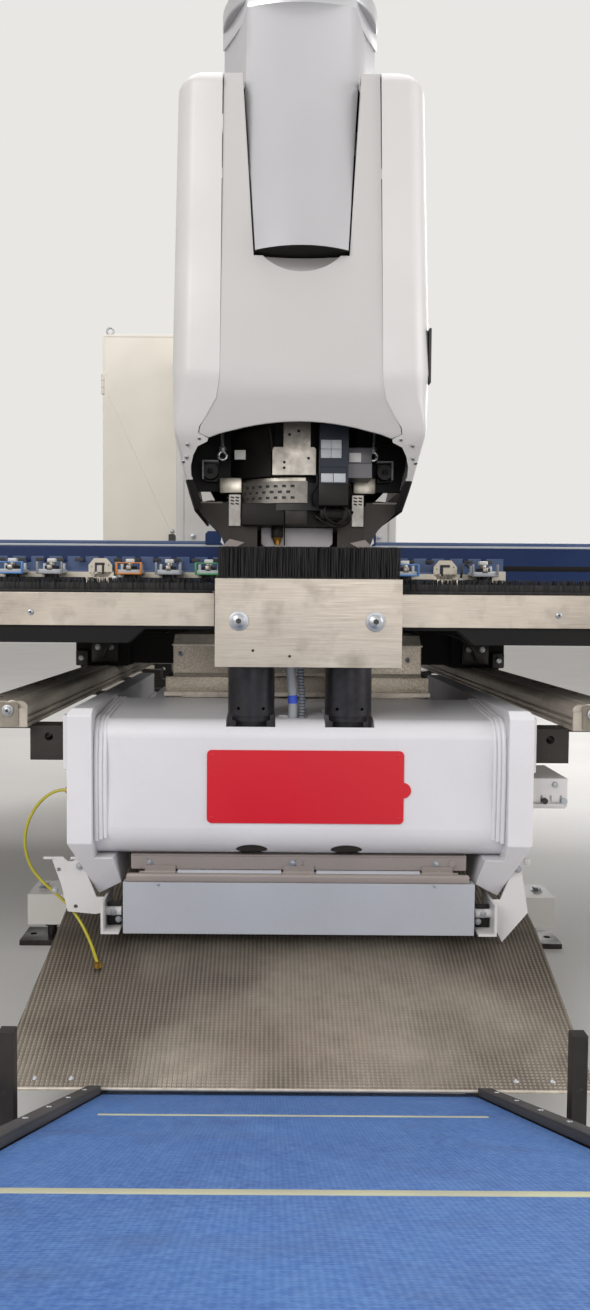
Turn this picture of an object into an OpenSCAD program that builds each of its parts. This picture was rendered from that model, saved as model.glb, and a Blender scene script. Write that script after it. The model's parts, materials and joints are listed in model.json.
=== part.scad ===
// CNC turret punch press: C-frame with a single punching head, side tables and a tool rail
// on a moving cross beam, a lifting nose table, a parts chute and a discharge conveyor.
// Millimetres, +Z up, +X to the right of the operator, +Y from the nose to the column.
// The working frame has the punch axis at X = 0, Y = 0 and the floor at Z = 0.

/* [Base and column] */
// Half width of the plinth under the lower arm
base_half_w = 430; // [380:10:440]
// Front face of the plinth behind the punch axis
base_front_y = 330; // [250:10:600]
// Height of the plinth underside above the floor
base_z = 60; // [40:5:90]
// Half length of the outriggers
outrigger_half_w = 690; // [620:10:760]
// Depth of an outrigger
outrigger_w = 130; // [100:10:160]
// Height of an outrigger beam
outrigger_h = 80; // [60:5:100]
// Half width of the rear column
column_half_w = 450; // [430:10:470]
// Front face of the rear column
column_front_y = 1700; // [1650:10:1800]
// Rear face of the rear column
column_rear_y = 2640; // [2600:10:2800]
// Top of the rear column
column_top_z = 1950; // [1900:10:2000]
// Half width of the upper arm
upper_half_w = 205; // [180:5:210]
// Underside of the upper arm
upper_bottom_z = 1230; // [1210:5:1260]
// Top of the upper arm
upper_top_z = 1905; // [1800:5:1930]
// Radius of a foot plate's anchor hole
anchor_r = 9; // [6:0.5:12]

/* [Lower arm] */
// Half width of the lower arm between the cheeks
arm_half_w = 395; // [380:5:400]
// Front face of the lower arm
arm_front_y = -470; // [-490:5:-465]
// Underside of the lower arm
arm_bottom_z = 412; // [405:1:420]
// Top of the lower arm's nose
arm_nose_z = 680; // [670:1:685]
// Top of the lower arm's nose shell at its rear edge
arm_top_z = 698; // [690:1:700]
// Rear edge of the nose shell's top
arm_step_y = -215; // [-240:1:-212]
// Deck of the lower arm behind the nose shell
deck_z = 640; // [620:1:650]
// Radius of the upper front edge
arm_top_r = 35; // [20:1:45]
// Radius of the lower front edge
arm_low_r = 60; // [40:1:80]
// Thickness of a cheek plate
cheek_t = 48; // [30:1:50]
// Front edge of the cheeks
cheek_front_y = -490; // [-500:5:-480]
// Rear edge of the cheeks
cheek_rear_y = 500; // [400:10:560]
// Top of the cheeks
cheek_top_z = 702; // [690:1:703]
// Height at which a cheek starts to taper
cheek_knee_z = 444; // [430:1:470]
// Lowest point of a cheek
cheek_toe_z = 327; // [310:1:345]
// Inward lean of a cheek's toe
cheek_lean = 48; // [30:1:55]
// Width of the square shaft that slugs fall through
slug_w = 96; // [84:2:110]

/* [Guide rails] */
// Gap from the pads on the arm's cheeks to the guide rails
rail_gap = 65; // [58:1:70]
// Width of a guide rail
rail_w = 90; // [70:1:100]
// Underside of the guide rails
rail_z = 662; // [655:1:670]
// Height of a guide rail
rail_h = 51; // [40:1:55]
// Front end of the guide rails
rail_front_y = -455; // [-480:5:-440]
// Rear end of the guide rails
rail_rear_y = 1680; // [1600:5:1695]
// Depth of a rail bracket
bracket_w = 70; // [40:5:90]

/* [Die housing] */
// Half width of the die housing
die_box_half_w = 270; // [240:5:290]
// Half depth of the die housing
die_box_half_y = 200; // [180:5:230]
// Top of the die housing
die_box_z = 835; // [820:1:838]
// Radius of the round die bed
die_bed_r = 150; // [130:1:155]
// Top of the die bed
die_bed_z = 936; // [925:1:940]
// Radius of the rotating die holder
die_r = 75; // [60:1:90]
// Radius of the die bore
die_bore_r = 38; // [20:1:45]
// Height of the rotating die holder
die_h = 44; // [30:1:60]

/* [Nose table] */
// Middle of the nose table from the machine's middle plane
nose_x = 11; // [0:1:12]
// Half width of the nose plate
nose_half_w = 170.5; // [140:0.5:171]
// Front face of the nose plate
nose_front_y = -550; // [-560:1:-545]
// Underside of the nose plate
nose_z = 787; // [780:1:800]
// Top of the nose plate
nose_top_z = 948; // [935:1:950]
// Sheet thickness of the nose plate
nose_t = 5; // [3:0.5:8]
// Height of the nose bristles above the block
nose_bristle_h = 49; // [35:1:60]
// Distance of a lift column from the middle plane
lift_x = 95; // [85:1:100]
// Distance of the lift columns in front of the punch axis
lift_y = -415; // [-420:1:-400]
// Radius of a lift column
lift_r = 30.5; // [25:0.5:35]
// Outer radius of a lift sleeve
sleeve_r = 45.5; // [40:0.5:50]
// Underside of the lift sleeves
sleeve_z = 687; // [685:1:700]
// Travel of the nose table
nose_travel = 54; // [20:1:55]

/* [Side tables] */
// Height of the side tables' bristle tips, where the sheet lies
sheet_z = 947; // [940:1:955]
// Outer end of the side tables
table_half_w = 2400; // [2350:10:2600]
// Gap on each side of the nose table
table_gap = 5; // [4:0.5:8]
// Front face of the side tables
table_front_y = -470; // [-480:5:-460]
// Underside of the side tables' edge plates
table_z = 853; // [850:1:860]
// Height of the side tables' edge plates
table_h = 69; // [55:1:75]
// Depth of the tapered carriers under the side tables
carrier_h = 27; // [15:1:35]
// Pitch of the bristle strips
strip_pitch = 98; // [80:1:120]
// Thickness of a bristle strip
strip_t = 12; // [8:1:20]

/* [Cross beam] */
// Front face of the cross beam
beam_front_y = 1290; // [1280:5:1300]
// Depth of the cross beam
beam_w = 140; // [100:5:180]
// Underside of the cross beam
beam_z = 760; // [750:5:800]
// Top of the cross beam
beam_top_z = 1120; // [1100:1:1130]
// Half width of the cover in the middle of the beam
cover_half_w = 313; // [250:1:320]
// Height of the cover
cover_h = 50; // [30:1:55]
// Right end of the tool rail at rest
x_rail_end = 782; // [700:1:800]
// Length of the tool rail
x_rail_len = 2960; // [2400:10:2980]
// Underside of the tool rail
x_rail_z = 955; // [950:1:970]
// Height of the tool rail
x_rail_h = 117; // [100:1:120]
// Depth of the tool rail
x_rail_w = 80; // [60:1:90]
// Pitch of the tool cassettes
cassette_pitch = 139; // [120:1:150]
// Width of a tool cassette
cassette_w = 94; // [70:1:110]
// Middle of the left clamp at rest
clamp_left_x = -672; // [-700:1:-650]
// Middle of the right clamp at rest
clamp_right_x = 565; // [540:1:600]
// Width of a clamp
clamp_w = 84; // [60:1:90]

/* [Punching head] */
// Front of the head covers at their knee
head_front_y = -340; // [-345:1:-335]
// Front of the head covers at their top edge
head_top_y = -186; // [-200:1:-180]
// Half width of the head over the side covers
head_half_w = 263; // [258:1:268]
// Rear face of the head covers
head_rear_y = 250; // [220:5:260]
// Height of the side covers' lower rim
shell_bottom_z = 1105; // [1100:1:1110]
// Wall of the head covers
shell_t = 6; // [4:0.5:8]
// Height below which the head covers lean back
knee_z = 1375; // [1365:1:1385]
// Radius of the drive housing
drive_r = 176; // [160:1:180]
// Height of the drive housing's ring above the side covers
ring_lift = 210; // [190:1:230]
// Height of the drive housing's ring
drive_ring_h = 38; // [30:1:45]
// Height of the drive housing's cap above its ring
drive_cap_h = 68; // [50:1:80]
// Top of the drive housing
drive_top_z = 2330; // [2310:5:2360]
// Radius of the clamp ring under the head
ring_r = 153; // [150:1:154]
// Radius of the ram
ram_r = 60; // [50:1:65]
// Half width of the stripper block
stripper_half_w = 82; // [70:1:90]
// Underside of the stripper block
stripper_z = 1033; // [1030:1:1040]
// Stroke of the ram
ram_stroke = 80; // [30:1:82]
// Radius of the punch
punch_r = 37; // [20:1:40]

/* [Chute and flap] */
// Half width of the chute sheet
chute_half_w = 478; // [450:1:490]
// Front edge of the chute
chute_front_y = -780; // [-790:1:-770]
// Height of the chute's front edge
chute_front_z = 115; // [113:1:125]
// Slope of the chute in degrees
chute_slope = 20; // [16:0.5:22]
// Thickness of the chute sheet
chute_t = 3; // [2:0.5:4]
// Distance from the flap's end to the lower arm's side
flap_gap = 55; // [52:1:75]
// Underside of the flap
flap_z = 263; // [255:1:280]
// Height of the flap
flap_h = 104; // [80:1:105]
// Depth of the folded flap
flap_t = 25; // [15:1:26]

/* [Conveyor] */
// Middle of the conveyor from the machine's middle plane
conveyor_x = -22; // [-40:1:20]
// Width of the belt
belt_w = 610; // [560:2:640]
// Rise of the conveyor in degrees
conveyor_rise = 22.3; // [20:0.1:23]
// Distance between the conveyor's roller axles
conveyor_len = 1257; // [1100:1:1300]
// Distance of the tail axle in front of the punch axis
tail_y = -737; // [-745:1:-730]
// Height of the tail axle
tail_z = 51; // [50:1:56]
// Radius of the belt rollers
roller_r = 30; // [24:0.5:31]
// Thickness of the belt
belt_t = 3; // [2:0.5:5]
// Thickness of a conveyor side plate
side_plate_t = 14; // [8:1:20]

/* [Control cabinet] */
// Width of the control cabinet
cabinet_w = 358; // [300:2:400]
// Front face of the cabinet door
cabinet_front_y = 2040; // [2000:5:2060]
// Depth of the control cabinet with its door
cabinet_d = 340; // [280:5:345]
// Top of the control cabinet
cabinet_top_z = 2085; // [2050:5:2100]

/* [Hidden] */
$fn = 64;

// Clearance between pieces that slide or turn
run_gap = 0.3;
// Overcut that keeps the cutting tools clear of the faces they pass
cut = 1;
// Where the conveyor's front end stands
conveyor_front_y = tail_y - conveyor_len * cos(conveyor_rise) - side_end_r();
// Heights of the head that hang from its top, and the cabinet's rear face
drive_ring_z = drive_top_z - drive_cap_h - drive_ring_h;
shell_top_z = drive_ring_z - ring_lift;
cabinet_rear_y = cabinet_front_y + cabinet_d;
// Shift that puts the middle of the whole machine on the frame's origin
frame_y = -(conveyor_front_y + column_rear_y) / 2;

// Radius of a conveyor side plate's rounded end
function side_end_r() = roller_r + belt_t + 12;

module at_frame() { translate([0, frame_y, 0]) children(); }
// A block between two corners
module block(x0, x1, y0, y1, z0, z1) { translate([x0, y0, z0]) cube([x1 - x0, y1 - y0, z1 - z0]); }
// An outline drawn in Y and Z, carried along X
module along_x(x0, x1) { translate([x0, 0, 0]) rotate([90, 0, 90]) linear_extrude(x1 - x0) children(); }
// An outline drawn in X and Z, carried along Y
module along_y(y0, y1) { translate([0, y1, 0]) rotate([90, 0, 0]) linear_extrude(y1 - y0) children(); }
// A round bar or bore along Y
module bar_y(x, y0, y1, z, r) { translate([x, y0, z]) rotate([-90, 0, 0]) cylinder(h = y1 - y0, r = r); }
// A round bar or bore along X
module bar_x(x0, x1, y, z, r) { translate([x0, y, z]) rotate([0, 90, 0]) cylinder(h = x1 - x0, r = r); }
// A round bar or bore along Z
module bar_z(x, y, z0, z1, r) { translate([x, y, z0]) cylinder(h = z1 - z0, r = r); }
// A flat rectangle with round corners
module rounded(x0, x1, y0, y1, r) {
  translate([x0 + r, y0]) square([x1 - x0 - 2 * r, y1 - y0]);
  translate([x0, y0 + r]) square([x1 - x0, y1 - y0 - 2 * r]);
  for (x = [x0 + r, x1 - r], y = [y0 + r, y1 - r]) translate([x, y]) circle(r);
}

// Base, feet and column
foot_x = outrigger_half_w - 50;
front_foot_y = base_front_y - outrigger_w / 2;
rear_foot_y = cabinet_rear_y + outrigger_w / 2 + 20;
foot_h = 14;
module foot_places() {
  for (m = [0, 1], y = [front_foot_y, rear_foot_y]) mirror([m, 0, 0]) translate([foot_x, y, 0]) children();
}
module base_frame() {
  color("#c9c7c2") at_frame() difference() {
    union() {
      block(-base_half_w, base_half_w, base_front_y, column_rear_y, base_z, arm_bottom_z);
      for (y = [front_foot_y, rear_foot_y])
        block(-outrigger_half_w, outrigger_half_w, y - outrigger_w / 2, y + outrigger_w / 2,
              base_z, base_z + outrigger_h);
    }
    foot_places() bar_z(0, 0, base_z - cut, base_z + outrigger_h / 2, 13);
    for (x = [-1, 1]) mirror([x < 0 ? 1 : 0, 0, 0])
      block(base_half_w - 60, base_half_w + cut, base_front_y + 300, rear_foot_y - 300,
            base_z - cut, base_z + 60);
  }
}
module levelling_feet() {
  color("#55565a") at_frame() foot_places() {
    difference() {
      union() {
        translate([-75, -55, 0]) cube([150, 110, foot_h]);
        bar_z(0, 0, 0, base_z + outrigger_h / 2 - 2, 12);
        bar_z(0, 0, base_z - 20, base_z, 20);
      }
      bar_z(0, 0, -cut, 4, 6);
      bar_z(50, 0, -cut, foot_h + cut, anchor_r);
    }
  }
}
module rear_column() {
  color("#d9d6d0") at_frame() {
    block(-column_half_w, column_half_w, column_front_y, column_rear_y, arm_bottom_z, column_top_z);
    block(-column_half_w + 40, column_half_w - 40, column_front_y + 60, column_rear_y - 60,
          column_top_z, column_top_z + 25);
  }
}
module upper_arm() {
  color("#d9d6d0") at_frame() along_y(head_rear_y, column_front_y) polygon([
    [-upper_half_w, upper_bottom_z + 30], [-upper_half_w + 30, upper_bottom_z],
    [upper_half_w - 30, upper_bottom_z], [upper_half_w, upper_bottom_z + 30],
    [upper_half_w, upper_top_z - 50], [upper_half_w - 50, upper_top_z],
    [-upper_half_w + 50, upper_top_z], [-upper_half_w, upper_top_z - 50]]);
}

// Lower arm with its cheeks
pocket_x = sleeve_r + 2;
module lower_arm() {
  color("#e4e1dc") at_frame() difference() {
    along_x(-arm_half_w, arm_half_w) {
      polygon([
        [arm_front_y, arm_bottom_z + arm_low_r], [arm_front_y, arm_nose_z - arm_top_r],
        [arm_front_y + arm_top_r, arm_nose_z - arm_top_r], [arm_front_y + arm_top_r, arm_nose_z],
        [arm_step_y, arm_top_z], [arm_step_y, deck_z],
        [column_front_y, deck_z], [column_front_y, arm_bottom_z],
        [arm_front_y + arm_low_r, arm_bottom_z], [arm_front_y + arm_low_r, arm_bottom_z + arm_low_r]]);
      translate([arm_front_y + arm_low_r, arm_bottom_z + arm_low_r]) circle(arm_low_r);
      translate([arm_front_y + arm_top_r, arm_nose_z - arm_top_r]) circle(arm_top_r);
    }
    block(-slug_w / 2, slug_w / 2, -slug_w / 2, slug_w / 2, arm_bottom_z - cut, deck_z + cut);
    for (x = [-lift_x, lift_x]) {
      block(x - pocket_x, x + pocket_x, lift_y - pocket_x, lift_y + 75, arm_nose_z - 70, arm_top_z);
      bar_z(x, lift_y, arm_bottom_z - cut, arm_nose_z, lift_r + run_gap);
    }
    block(conduit_xs[0] - 13, conduit_xs[1] + 13, lift_y - 13, lift_y + 13, arm_nose_z - 40, arm_top_z);
  }
}
pad_t = 16;
pad_x = arm_half_w + cheek_t + pad_t;
rail_in_x = pad_x + rail_gap;
cheek_base_y = min(cheek_rear_y - 150, base_front_y - 5);
module cheek() {
  x1 = arm_half_w + cheek_t;
  intersection() {
    along_y(cheek_front_y, cheek_rear_y) {
      polygon([[arm_half_w, cheek_top_z], [x1 - 8, cheek_top_z], [x1, cheek_top_z - 8],
               [x1, cheek_knee_z], [x1 - cheek_lean, cheek_toe_z],
               [arm_half_w - cheek_lean, cheek_toe_z + 28], [arm_half_w - 0.75 * cheek_lean,
               arm_bottom_z - run_gap], [arm_half_w, arm_bottom_z - run_gap]]);
    }
    along_x(0, x1 + cut) {
      polygon([[cheek_front_y + 14, cheek_top_z], [cheek_front_y, cheek_top_z - 14],
               [cheek_front_y, cheek_knee_z], [cheek_front_y + 75, cheek_toe_z],
               [cheek_front_y + 260, cheek_toe_z], [cheek_base_y, arm_bottom_z],
               [cheek_rear_y, arm_bottom_z + 90], [cheek_rear_y, cheek_top_z]]);
    }
  }
  for (y = [rail_front_y + 10, cheek_rear_y - 220])
    block(x1 - cut, pad_x, y, y + bracket_w + 30, 578, 685);
}
module arm_cheek_left() { color("#e4e1dc") at_frame() mirror([1, 0, 0]) cheek(); }
module arm_cheek_right() { color("#e4e1dc") at_frame() cheek(); }

// Guide rails and what carries them
rail_top_z = rail_z + rail_h;
module rail_outline() {
  difference() {
    union() {
      translate([rail_in_x, rail_z]) square([rail_w, rail_h - 14]);
      translate([rail_in_x + 14, rail_z]) square([rail_w - 14, rail_h]);
      translate([rail_in_x + 14, rail_top_z - 14]) circle(14);
    }
    translate([rail_in_x + 34, rail_top_z - 7]) square([5, 7 + cut]);
    translate([rail_in_x - cut, rail_z + 8]) square([7, 5]);
    translate([rail_in_x - cut, rail_z + 20]) square([7, 5]);
    translate([rail_in_x + rail_w - 8, rail_z + 18]) square([8 + cut, 10]);
  }
}
module guide_rails() {
  color("#8b8680") at_frame() for (m = [0, 1]) mirror([m, 0, 0]) {
    along_y(rail_front_y, rail_rear_y) rail_outline();
    along_y(rail_front_y - 4, rail_front_y) translate([rail_in_x, rail_z])
      square([rail_w, rail_h - 14]);
  }
}
bracket_z = 595;
rail_bracket_ys = [rail_front_y + 25, cheek_rear_y - 205, 800, 1230, 1600];
module rail_brackets() {
  color("#5f5b57") at_frame() for (m = [0, 1]) mirror([m, 0, 0]) for (y = rail_bracket_ys) {
    if (y > cheek_rear_y) block(arm_half_w, pad_x + cut, y, y + bracket_w, bracket_z, deck_z - 12);
    difference() {
      block(pad_x, rail_in_x + 2, y, y + bracket_w, bracket_z, rail_z);
      bar_y(pad_x + rail_gap / 2 - 2, y - cut, y + bracket_w + cut, rail_z - 21, 8);
    }
    block(rail_in_x + 1, rail_in_x + rail_w - 10, y + bracket_w / 3, y + bracket_w - 4, rail_z - 8,
          rail_z);
  }
}

// Die housing with the die that turns in it
die_seat_z = sheet_z - die_h;
// Height of the lip along the die housing's front
lip_z = 752;
module die_housing() {
  color("#8f877c") at_frame() difference() {
    union() {
      along_x(-die_box_half_w, die_box_half_w) polygon([
        [-die_box_half_y - 7, deck_z], [-die_box_half_y - 7, lip_z - 6],
        [-die_box_half_y, lip_z], [-die_box_half_y, die_box_z - 22],
        [-die_box_half_y + 30, die_box_z], [die_box_half_y, die_box_z],
        [die_box_half_y, deck_z]]);
      bar_z(0, 0, die_box_z - cut, die_bed_z - 30, die_bed_r);
      bar_z(0, 0, die_bed_z - 31, die_bed_z, die_bed_r - 12);
    }
    bar_z(0, 0, die_seat_z - run_gap, die_bed_z + cut, die_r + run_gap);
    block(-slug_w / 2, slug_w / 2, -slug_w / 2, slug_w / 2, deck_z - cut, die_seat_z);
    block(-40, 46, -die_box_half_y - 10, -die_box_half_y + 40, arm_top_z, lip_z - 6);
  }
}
module die() {
  color("#a8a29a") at_frame() difference() {
    bar_z(0, 0, die_seat_z, sheet_z, die_r);
    bar_z(0, 0, die_seat_z - cut, sheet_z + cut, die_bore_r);
    for (a = [0 : 60 : 300]) rotate([0, 0, a]) bar_z(die_r - 16, 0, sheet_z - 8, sheet_z + cut, 4);
    block(die_bore_r - 4, die_bore_r + 5, -4, 4, sheet_z - 12, sheet_z + cut);
  }
}

// Lift columns, the flexible conduits between them and the nose table
column_top = nose_z + 60;
block_top_z = nose_top_z + 4 - 27;
module lift_columns() {
  color("#4a4a4c") at_frame() for (x = [-lift_x, lift_x])
    bar_z(x, lift_y, arm_bottom_z + 20, column_top, lift_r);
}
conduit_z = nose_z + 30;
conduit_xs = [-28, 2];
module conduits() {
  color("#8c9096") at_frame() for (x = conduit_xs) {
    translate([x, lift_y, arm_nose_z - 39.5]) cylinder(h = conduit_z - arm_nose_z + 39.5, r = 8);
    for (z = [arm_nose_z : 8 : conduit_z - 6]) translate([x, lift_y, z]) cylinder(h = 4, r = 10);
  }
}
module nose_block() {
  color("#2c2b2c") at_frame() difference() {
    union() {
      block(nose_x - 140, nose_x + 140, nose_front_y + nose_t, lift_y + 90, nose_z + 12, block_top_z);
      for (x = [-lift_x, lift_x]) {
        bar_z(x, lift_y, sleeve_z, nose_z + 12 + cut, sleeve_r);
        bar_z(x, lift_y, sleeve_z - 12, sleeve_z + cut, sleeve_r - 8);
      }
    }
    for (x = [-lift_x, lift_x]) {
      bar_z(x, lift_y, sleeve_z - 13, column_top + nose_travel + 4, lift_r + run_gap);
      for (dx = [-24, 24]) bar_y(x + dx, lift_y - sleeve_r - cut, lift_y, sleeve_z + 14, 3);
    }
    block(-48, 22, lift_y - 20, lift_y + 20, nose_z - cut, conduit_z + nose_travel + 6);
    for (x = nose_screw_xs) bar_y(x, nose_front_y, nose_front_y + 40, nose_screw_z, 8 + run_gap);
  }
}
nose_screw_xs = [nose_x - 127, nose_x + 122];
nose_screw_z = 871;
module nose_plate() {
  color("#a39d93") at_frame() difference() {
    block(nose_x - nose_half_w, nose_x + nose_half_w, nose_front_y, nose_front_y + 45,
          nose_z, nose_top_z);
    block(nose_x - nose_half_w + nose_t, nose_x + nose_half_w - nose_t, nose_front_y + nose_t,
          nose_front_y + 45 + cut, nose_z + nose_t, nose_top_z + cut);
    for (x = nose_screw_xs) bar_y(x, nose_front_y - cut, nose_front_y + nose_t + cut, nose_screw_z, 9);
    for (p = [[nose_x - 101, nose_z + 30], [nose_x - 34, nose_z + 20]])
      bar_y(p[0], nose_front_y - cut, nose_front_y + nose_t + cut, p[1], 2.5);
  }
}
module nose_screws() {
  color("#b9bbbe") at_frame() for (x = nose_screw_xs) difference() {
    translate([x, nose_front_y, nose_screw_z]) rotate([90, 0, 0]) {
      cylinder(h = 3, r = 18);
      translate([0, 0, 3]) cylinder(h = 5, r = 15);
      translate([0, 0, 8]) cylinder(h = 3, r1 = 15, r2 = 9);
      translate([0, 0, -38]) cylinder(h = 38, r = 8);
    }
    translate([x, nose_front_y - 12, nose_screw_z]) rotate([-90, 30, 0]) cylinder(h = 7, r = 5.5, $fn = 6);
  }
}
brush_half_w = nose_half_w - 7;
brush_rear_y = lift_y + 70;
module nose_brush() {
  tuft_pitch = 13;
  tufts = floor(2 * brush_half_w / tuft_pitch);
  row_pitch = 17;
  z0 = block_top_z;
  color("#1b1a1b") at_frame() {
    block(nose_x - brush_half_w, nose_x + brush_half_w, nose_front_y + nose_t + 1, brush_rear_y,
          z0, nose_top_z + 2);
    for (y = [nose_front_y + 22 + row_pitch : row_pitch : brush_rear_y - 10])
      block(nose_x - brush_half_w, nose_x + brush_half_w, y, y + 8, nose_top_z + 1,
            z0 + 27 + nose_bristle_h);
    for (i = [0 : tufts - 1])
      translate([nose_x - brush_half_w + tuft_pitch * (i + 0.5), nose_front_y + 16, nose_top_z + 1])
        cylinder(h = nose_bristle_h - 1 - 3 * ((i * 7) % 3) / 2 + 3, r = 6, $fn = 6);
  }
}

// Side tables on the moving cross beam
table_in_left = nose_x - nose_half_w - table_gap;
table_in_right = nose_x + nose_half_w + table_gap;
table_top_z = table_z + table_h;
edge_t = 5;
slab_t = 16;
slab_z = table_top_z - slab_t;
module table_body(in_x) {
  block(in_x, table_half_w - edge_t, table_front_y + edge_t, beam_front_y, slab_z, table_top_z);
}
carrier_w = 40;
module carrier(in_x) {
  x1 = table_half_w - edge_t;
  for (y = [table_front_y + edge_t, 217, beam_front_y - carrier_w]) along_y(y, y + carrier_w) polygon([
    [in_x, slab_z], [in_x, table_z], [die_box_half_w + 30, table_z],
    [die_box_half_w + 60, table_z - carrier_h], [rail_in_x + rail_w + 40, table_z - carrier_h],
    [x1 - 60, table_z], [x1, table_z], [x1, slab_z]]);
}
module table_carriers() {
  color("#3c3a3a") at_frame() {
    mirror([1, 0, 0]) carrier(-table_in_left);
    carrier(table_in_right);
  }
}
module side_table_left() {
  color("#3c3a3a") at_frame() mirror([1, 0, 0]) table_body(-table_in_left);
}
module side_table_right() { color("#3c3a3a") at_frame() table_body(table_in_right); }
module table_edges() {
  color("#a39d93") at_frame() {
    block(-table_half_w, table_in_left, table_front_y, table_front_y + edge_t, table_z, table_top_z);
    block(table_in_right, table_half_w, table_front_y, table_front_y + edge_t, table_z, table_top_z);
    for (m = [0, 1]) mirror([m, 0, 0])
      block(table_half_w - edge_t, table_half_w, table_front_y + edge_t, beam_front_y,
            table_z, table_top_z);
  }
}
brush_end_y = beam_front_y - 280;
module table_brushes() {
  color("#1b1a1b") at_frame()
    for (y = [table_front_y + 6 : strip_pitch : brush_end_y]) {
      block(-table_half_w + 12, table_in_left - 4, y, y + strip_t, table_top_z, sheet_z);
      block(table_in_right + 4, table_half_w - 12, y, y + strip_t, table_top_z, sheet_z);
    }
}
block_front_y = 640;
block_len = 420;
// Inner arms that carry the tables beside the die housing
arm_in_x = die_box_half_w + 40;
module carriage_blocks() {
  color("#2a292b") at_frame() for (m = [0, 1]) mirror([m, 0, 0])
    for (y = [block_front_y, block_front_y + block_len - 150]) {
      block(rail_in_x - 35, rail_in_x + rail_w + 35, y, y + 150, rail_top_z + run_gap,
            table_z - carrier_h);
      block(arm_in_x, rail_in_x - 35 + cut, y + 20, y + 130, rail_top_z + 8, table_z - carrier_h - 6);
      block(rail_in_x + rail_w + 2, rail_in_x + rail_w + 25, y + 20, y + 130, rail_z + 8,
            rail_top_z + cut);
      block(rail_in_x + 60, rail_in_x + rail_w + 20, y + 10, y + 140, table_z - carrier_h - cut,
            slab_z);
    }
}
beam_half_w = table_half_w - 20;
module y_beam() {
  color("#23406f") at_frame() along_x(-beam_half_w, beam_half_w)
    rounded(beam_front_y, beam_front_y + beam_w, beam_z, beam_top_z, 12);
}
module beam_cover() {
  color("#3a5a92") at_frame() along_y(beam_front_y - 8, beam_front_y + beam_w + 8) polygon([
    [nose_x - cover_half_w, beam_top_z], [nose_x - cover_half_w, beam_top_z + cover_h - 10],
    [nose_x - cover_half_w + 10, beam_top_z + cover_h],
    [nose_x + cover_half_w - 10, beam_top_z + cover_h],
    [nose_x + cover_half_w, beam_top_z + cover_h - 10], [nose_x + cover_half_w, beam_top_z]]);
}

// Tool rail with clamps and cassettes
x_rail_start = x_rail_end - x_rail_len;
x_rail_top = x_rail_z + x_rail_h;
x_rail_back = beam_front_y - run_gap;
x_rail_front = x_rail_back - x_rail_w;
module x_rail() {
  notch_w = 20;
  notch_h = 22;
  notch_pitch = 66;
  color("#46659c") at_frame() difference() {
    along_x(x_rail_start, x_rail_end) {
      translate([x_rail_front, x_rail_z]) square([x_rail_w, x_rail_h - 51]);
      translate([x_rail_front + 30, x_rail_z]) square([14, x_rail_h]);
      translate([x_rail_back - 20, x_rail_z]) square([20, x_rail_h - 30]);
    }
    along_x(x_rail_start - cut, x_rail_end + cut) translate([x_rail_front - cut, x_rail_z + 16])
      square([13, 14]);
    for (x = [x_rail_start + 40 : notch_pitch : x_rail_end - 40])
      block(x, x + notch_w, x_rail_front + 30 - cut, x_rail_front + 44 + cut, x_rail_top - notch_h,
            x_rail_top + cut);
  }
}
cassette_z = x_rail_z + 52;
cassette_h = 40;
cassette_r = 26;
cassette_d = 90;
cassette_first = 90;
cassette_last = 80;
clamp_room = 100;
cassette_xs = [for (x = [x_rail_end - cassette_first : -cassette_pitch : x_rail_start + cassette_last])
  if (abs(x - clamp_left_x) > clamp_room && abs(x - clamp_right_x) > clamp_room) x];
module tool_cassettes() {
  color("#d98a2b") at_frame() for (x = cassette_xs) {
    block(x - cassette_w / 2, x + cassette_w / 2, x_rail_front - cassette_d, x_rail_front,
          cassette_z, cassette_z + 14);
    for (s = [-1, 1]) block(x + s * (cassette_w / 2 - 6) - 6, x + s * (cassette_w / 2 - 6) + 6,
                            x_rail_front - 20, x_rail_front, cassette_z, cassette_z + cassette_h);
    bar_z(x, x_rail_front - cassette_d / 2 - 3, cassette_z - 22, cassette_z + 30, cassette_r);
  }
}
clamp_reach = 150;
clamp_front_y = x_rail_front - clamp_reach;
jaw_axis_z = sheet_z + 26;
jaw_axis_y = x_rail_front - 60;
clamp_plate_z = 990;
clamp_plate_h = 74;
module clamp_base(x) {
  w = clamp_w / 2;
  difference() {
    union() {
      block(x - w, x + w, clamp_front_y, x_rail_front, sheet_z - 20, sheet_z);
      for (s = [-1, 1]) along_x(s > 0 ? x + w - 14 : x - w, s > 0 ? x + w : x - w + 14) polygon([
        [jaw_axis_y - 22, sheet_z - cut], [jaw_axis_y - 22, jaw_axis_z + 10],
        [jaw_axis_y - 10, jaw_axis_z + 20], [x_rail_front, jaw_axis_z + 20],
        [x_rail_front, sheet_z - cut]]);
      block(x - w, x + w, x_rail_front - 12, x_rail_front, sheet_z - cut, clamp_plate_z + cut);
      along_y(x_rail_front - 12, x_rail_front) polygon([
        [x - w + 20, clamp_plate_z], [x + w - 20, clamp_plate_z], [x + w, clamp_plate_z + 24],
        [x + w, clamp_plate_z + clamp_plate_h - 24], [x + w - 20, clamp_plate_z + clamp_plate_h],
        [x - w + 20, clamp_plate_z + clamp_plate_h], [x - w, clamp_plate_z + clamp_plate_h - 24],
        [x - w, clamp_plate_z + 24]]);
    }
    bar_x(x - w - cut, x + w + cut, jaw_axis_y, jaw_axis_z, 6 + run_gap);
    block(x - 20, x - 12, x_rail_front - 14, x_rail_front + cut, clamp_plate_z + 18,
          clamp_plate_z + 58);
    block(x - 20, x + 16, x_rail_front - 14, x_rail_front + cut, clamp_plate_z + 50,
          clamp_plate_z + 58);
  }
}
module clamp_bodies() {
  color("#cfcdc8") at_frame() {
    clamp_base(clamp_left_x);
    clamp_base(clamp_right_x);
  }
}
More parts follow.
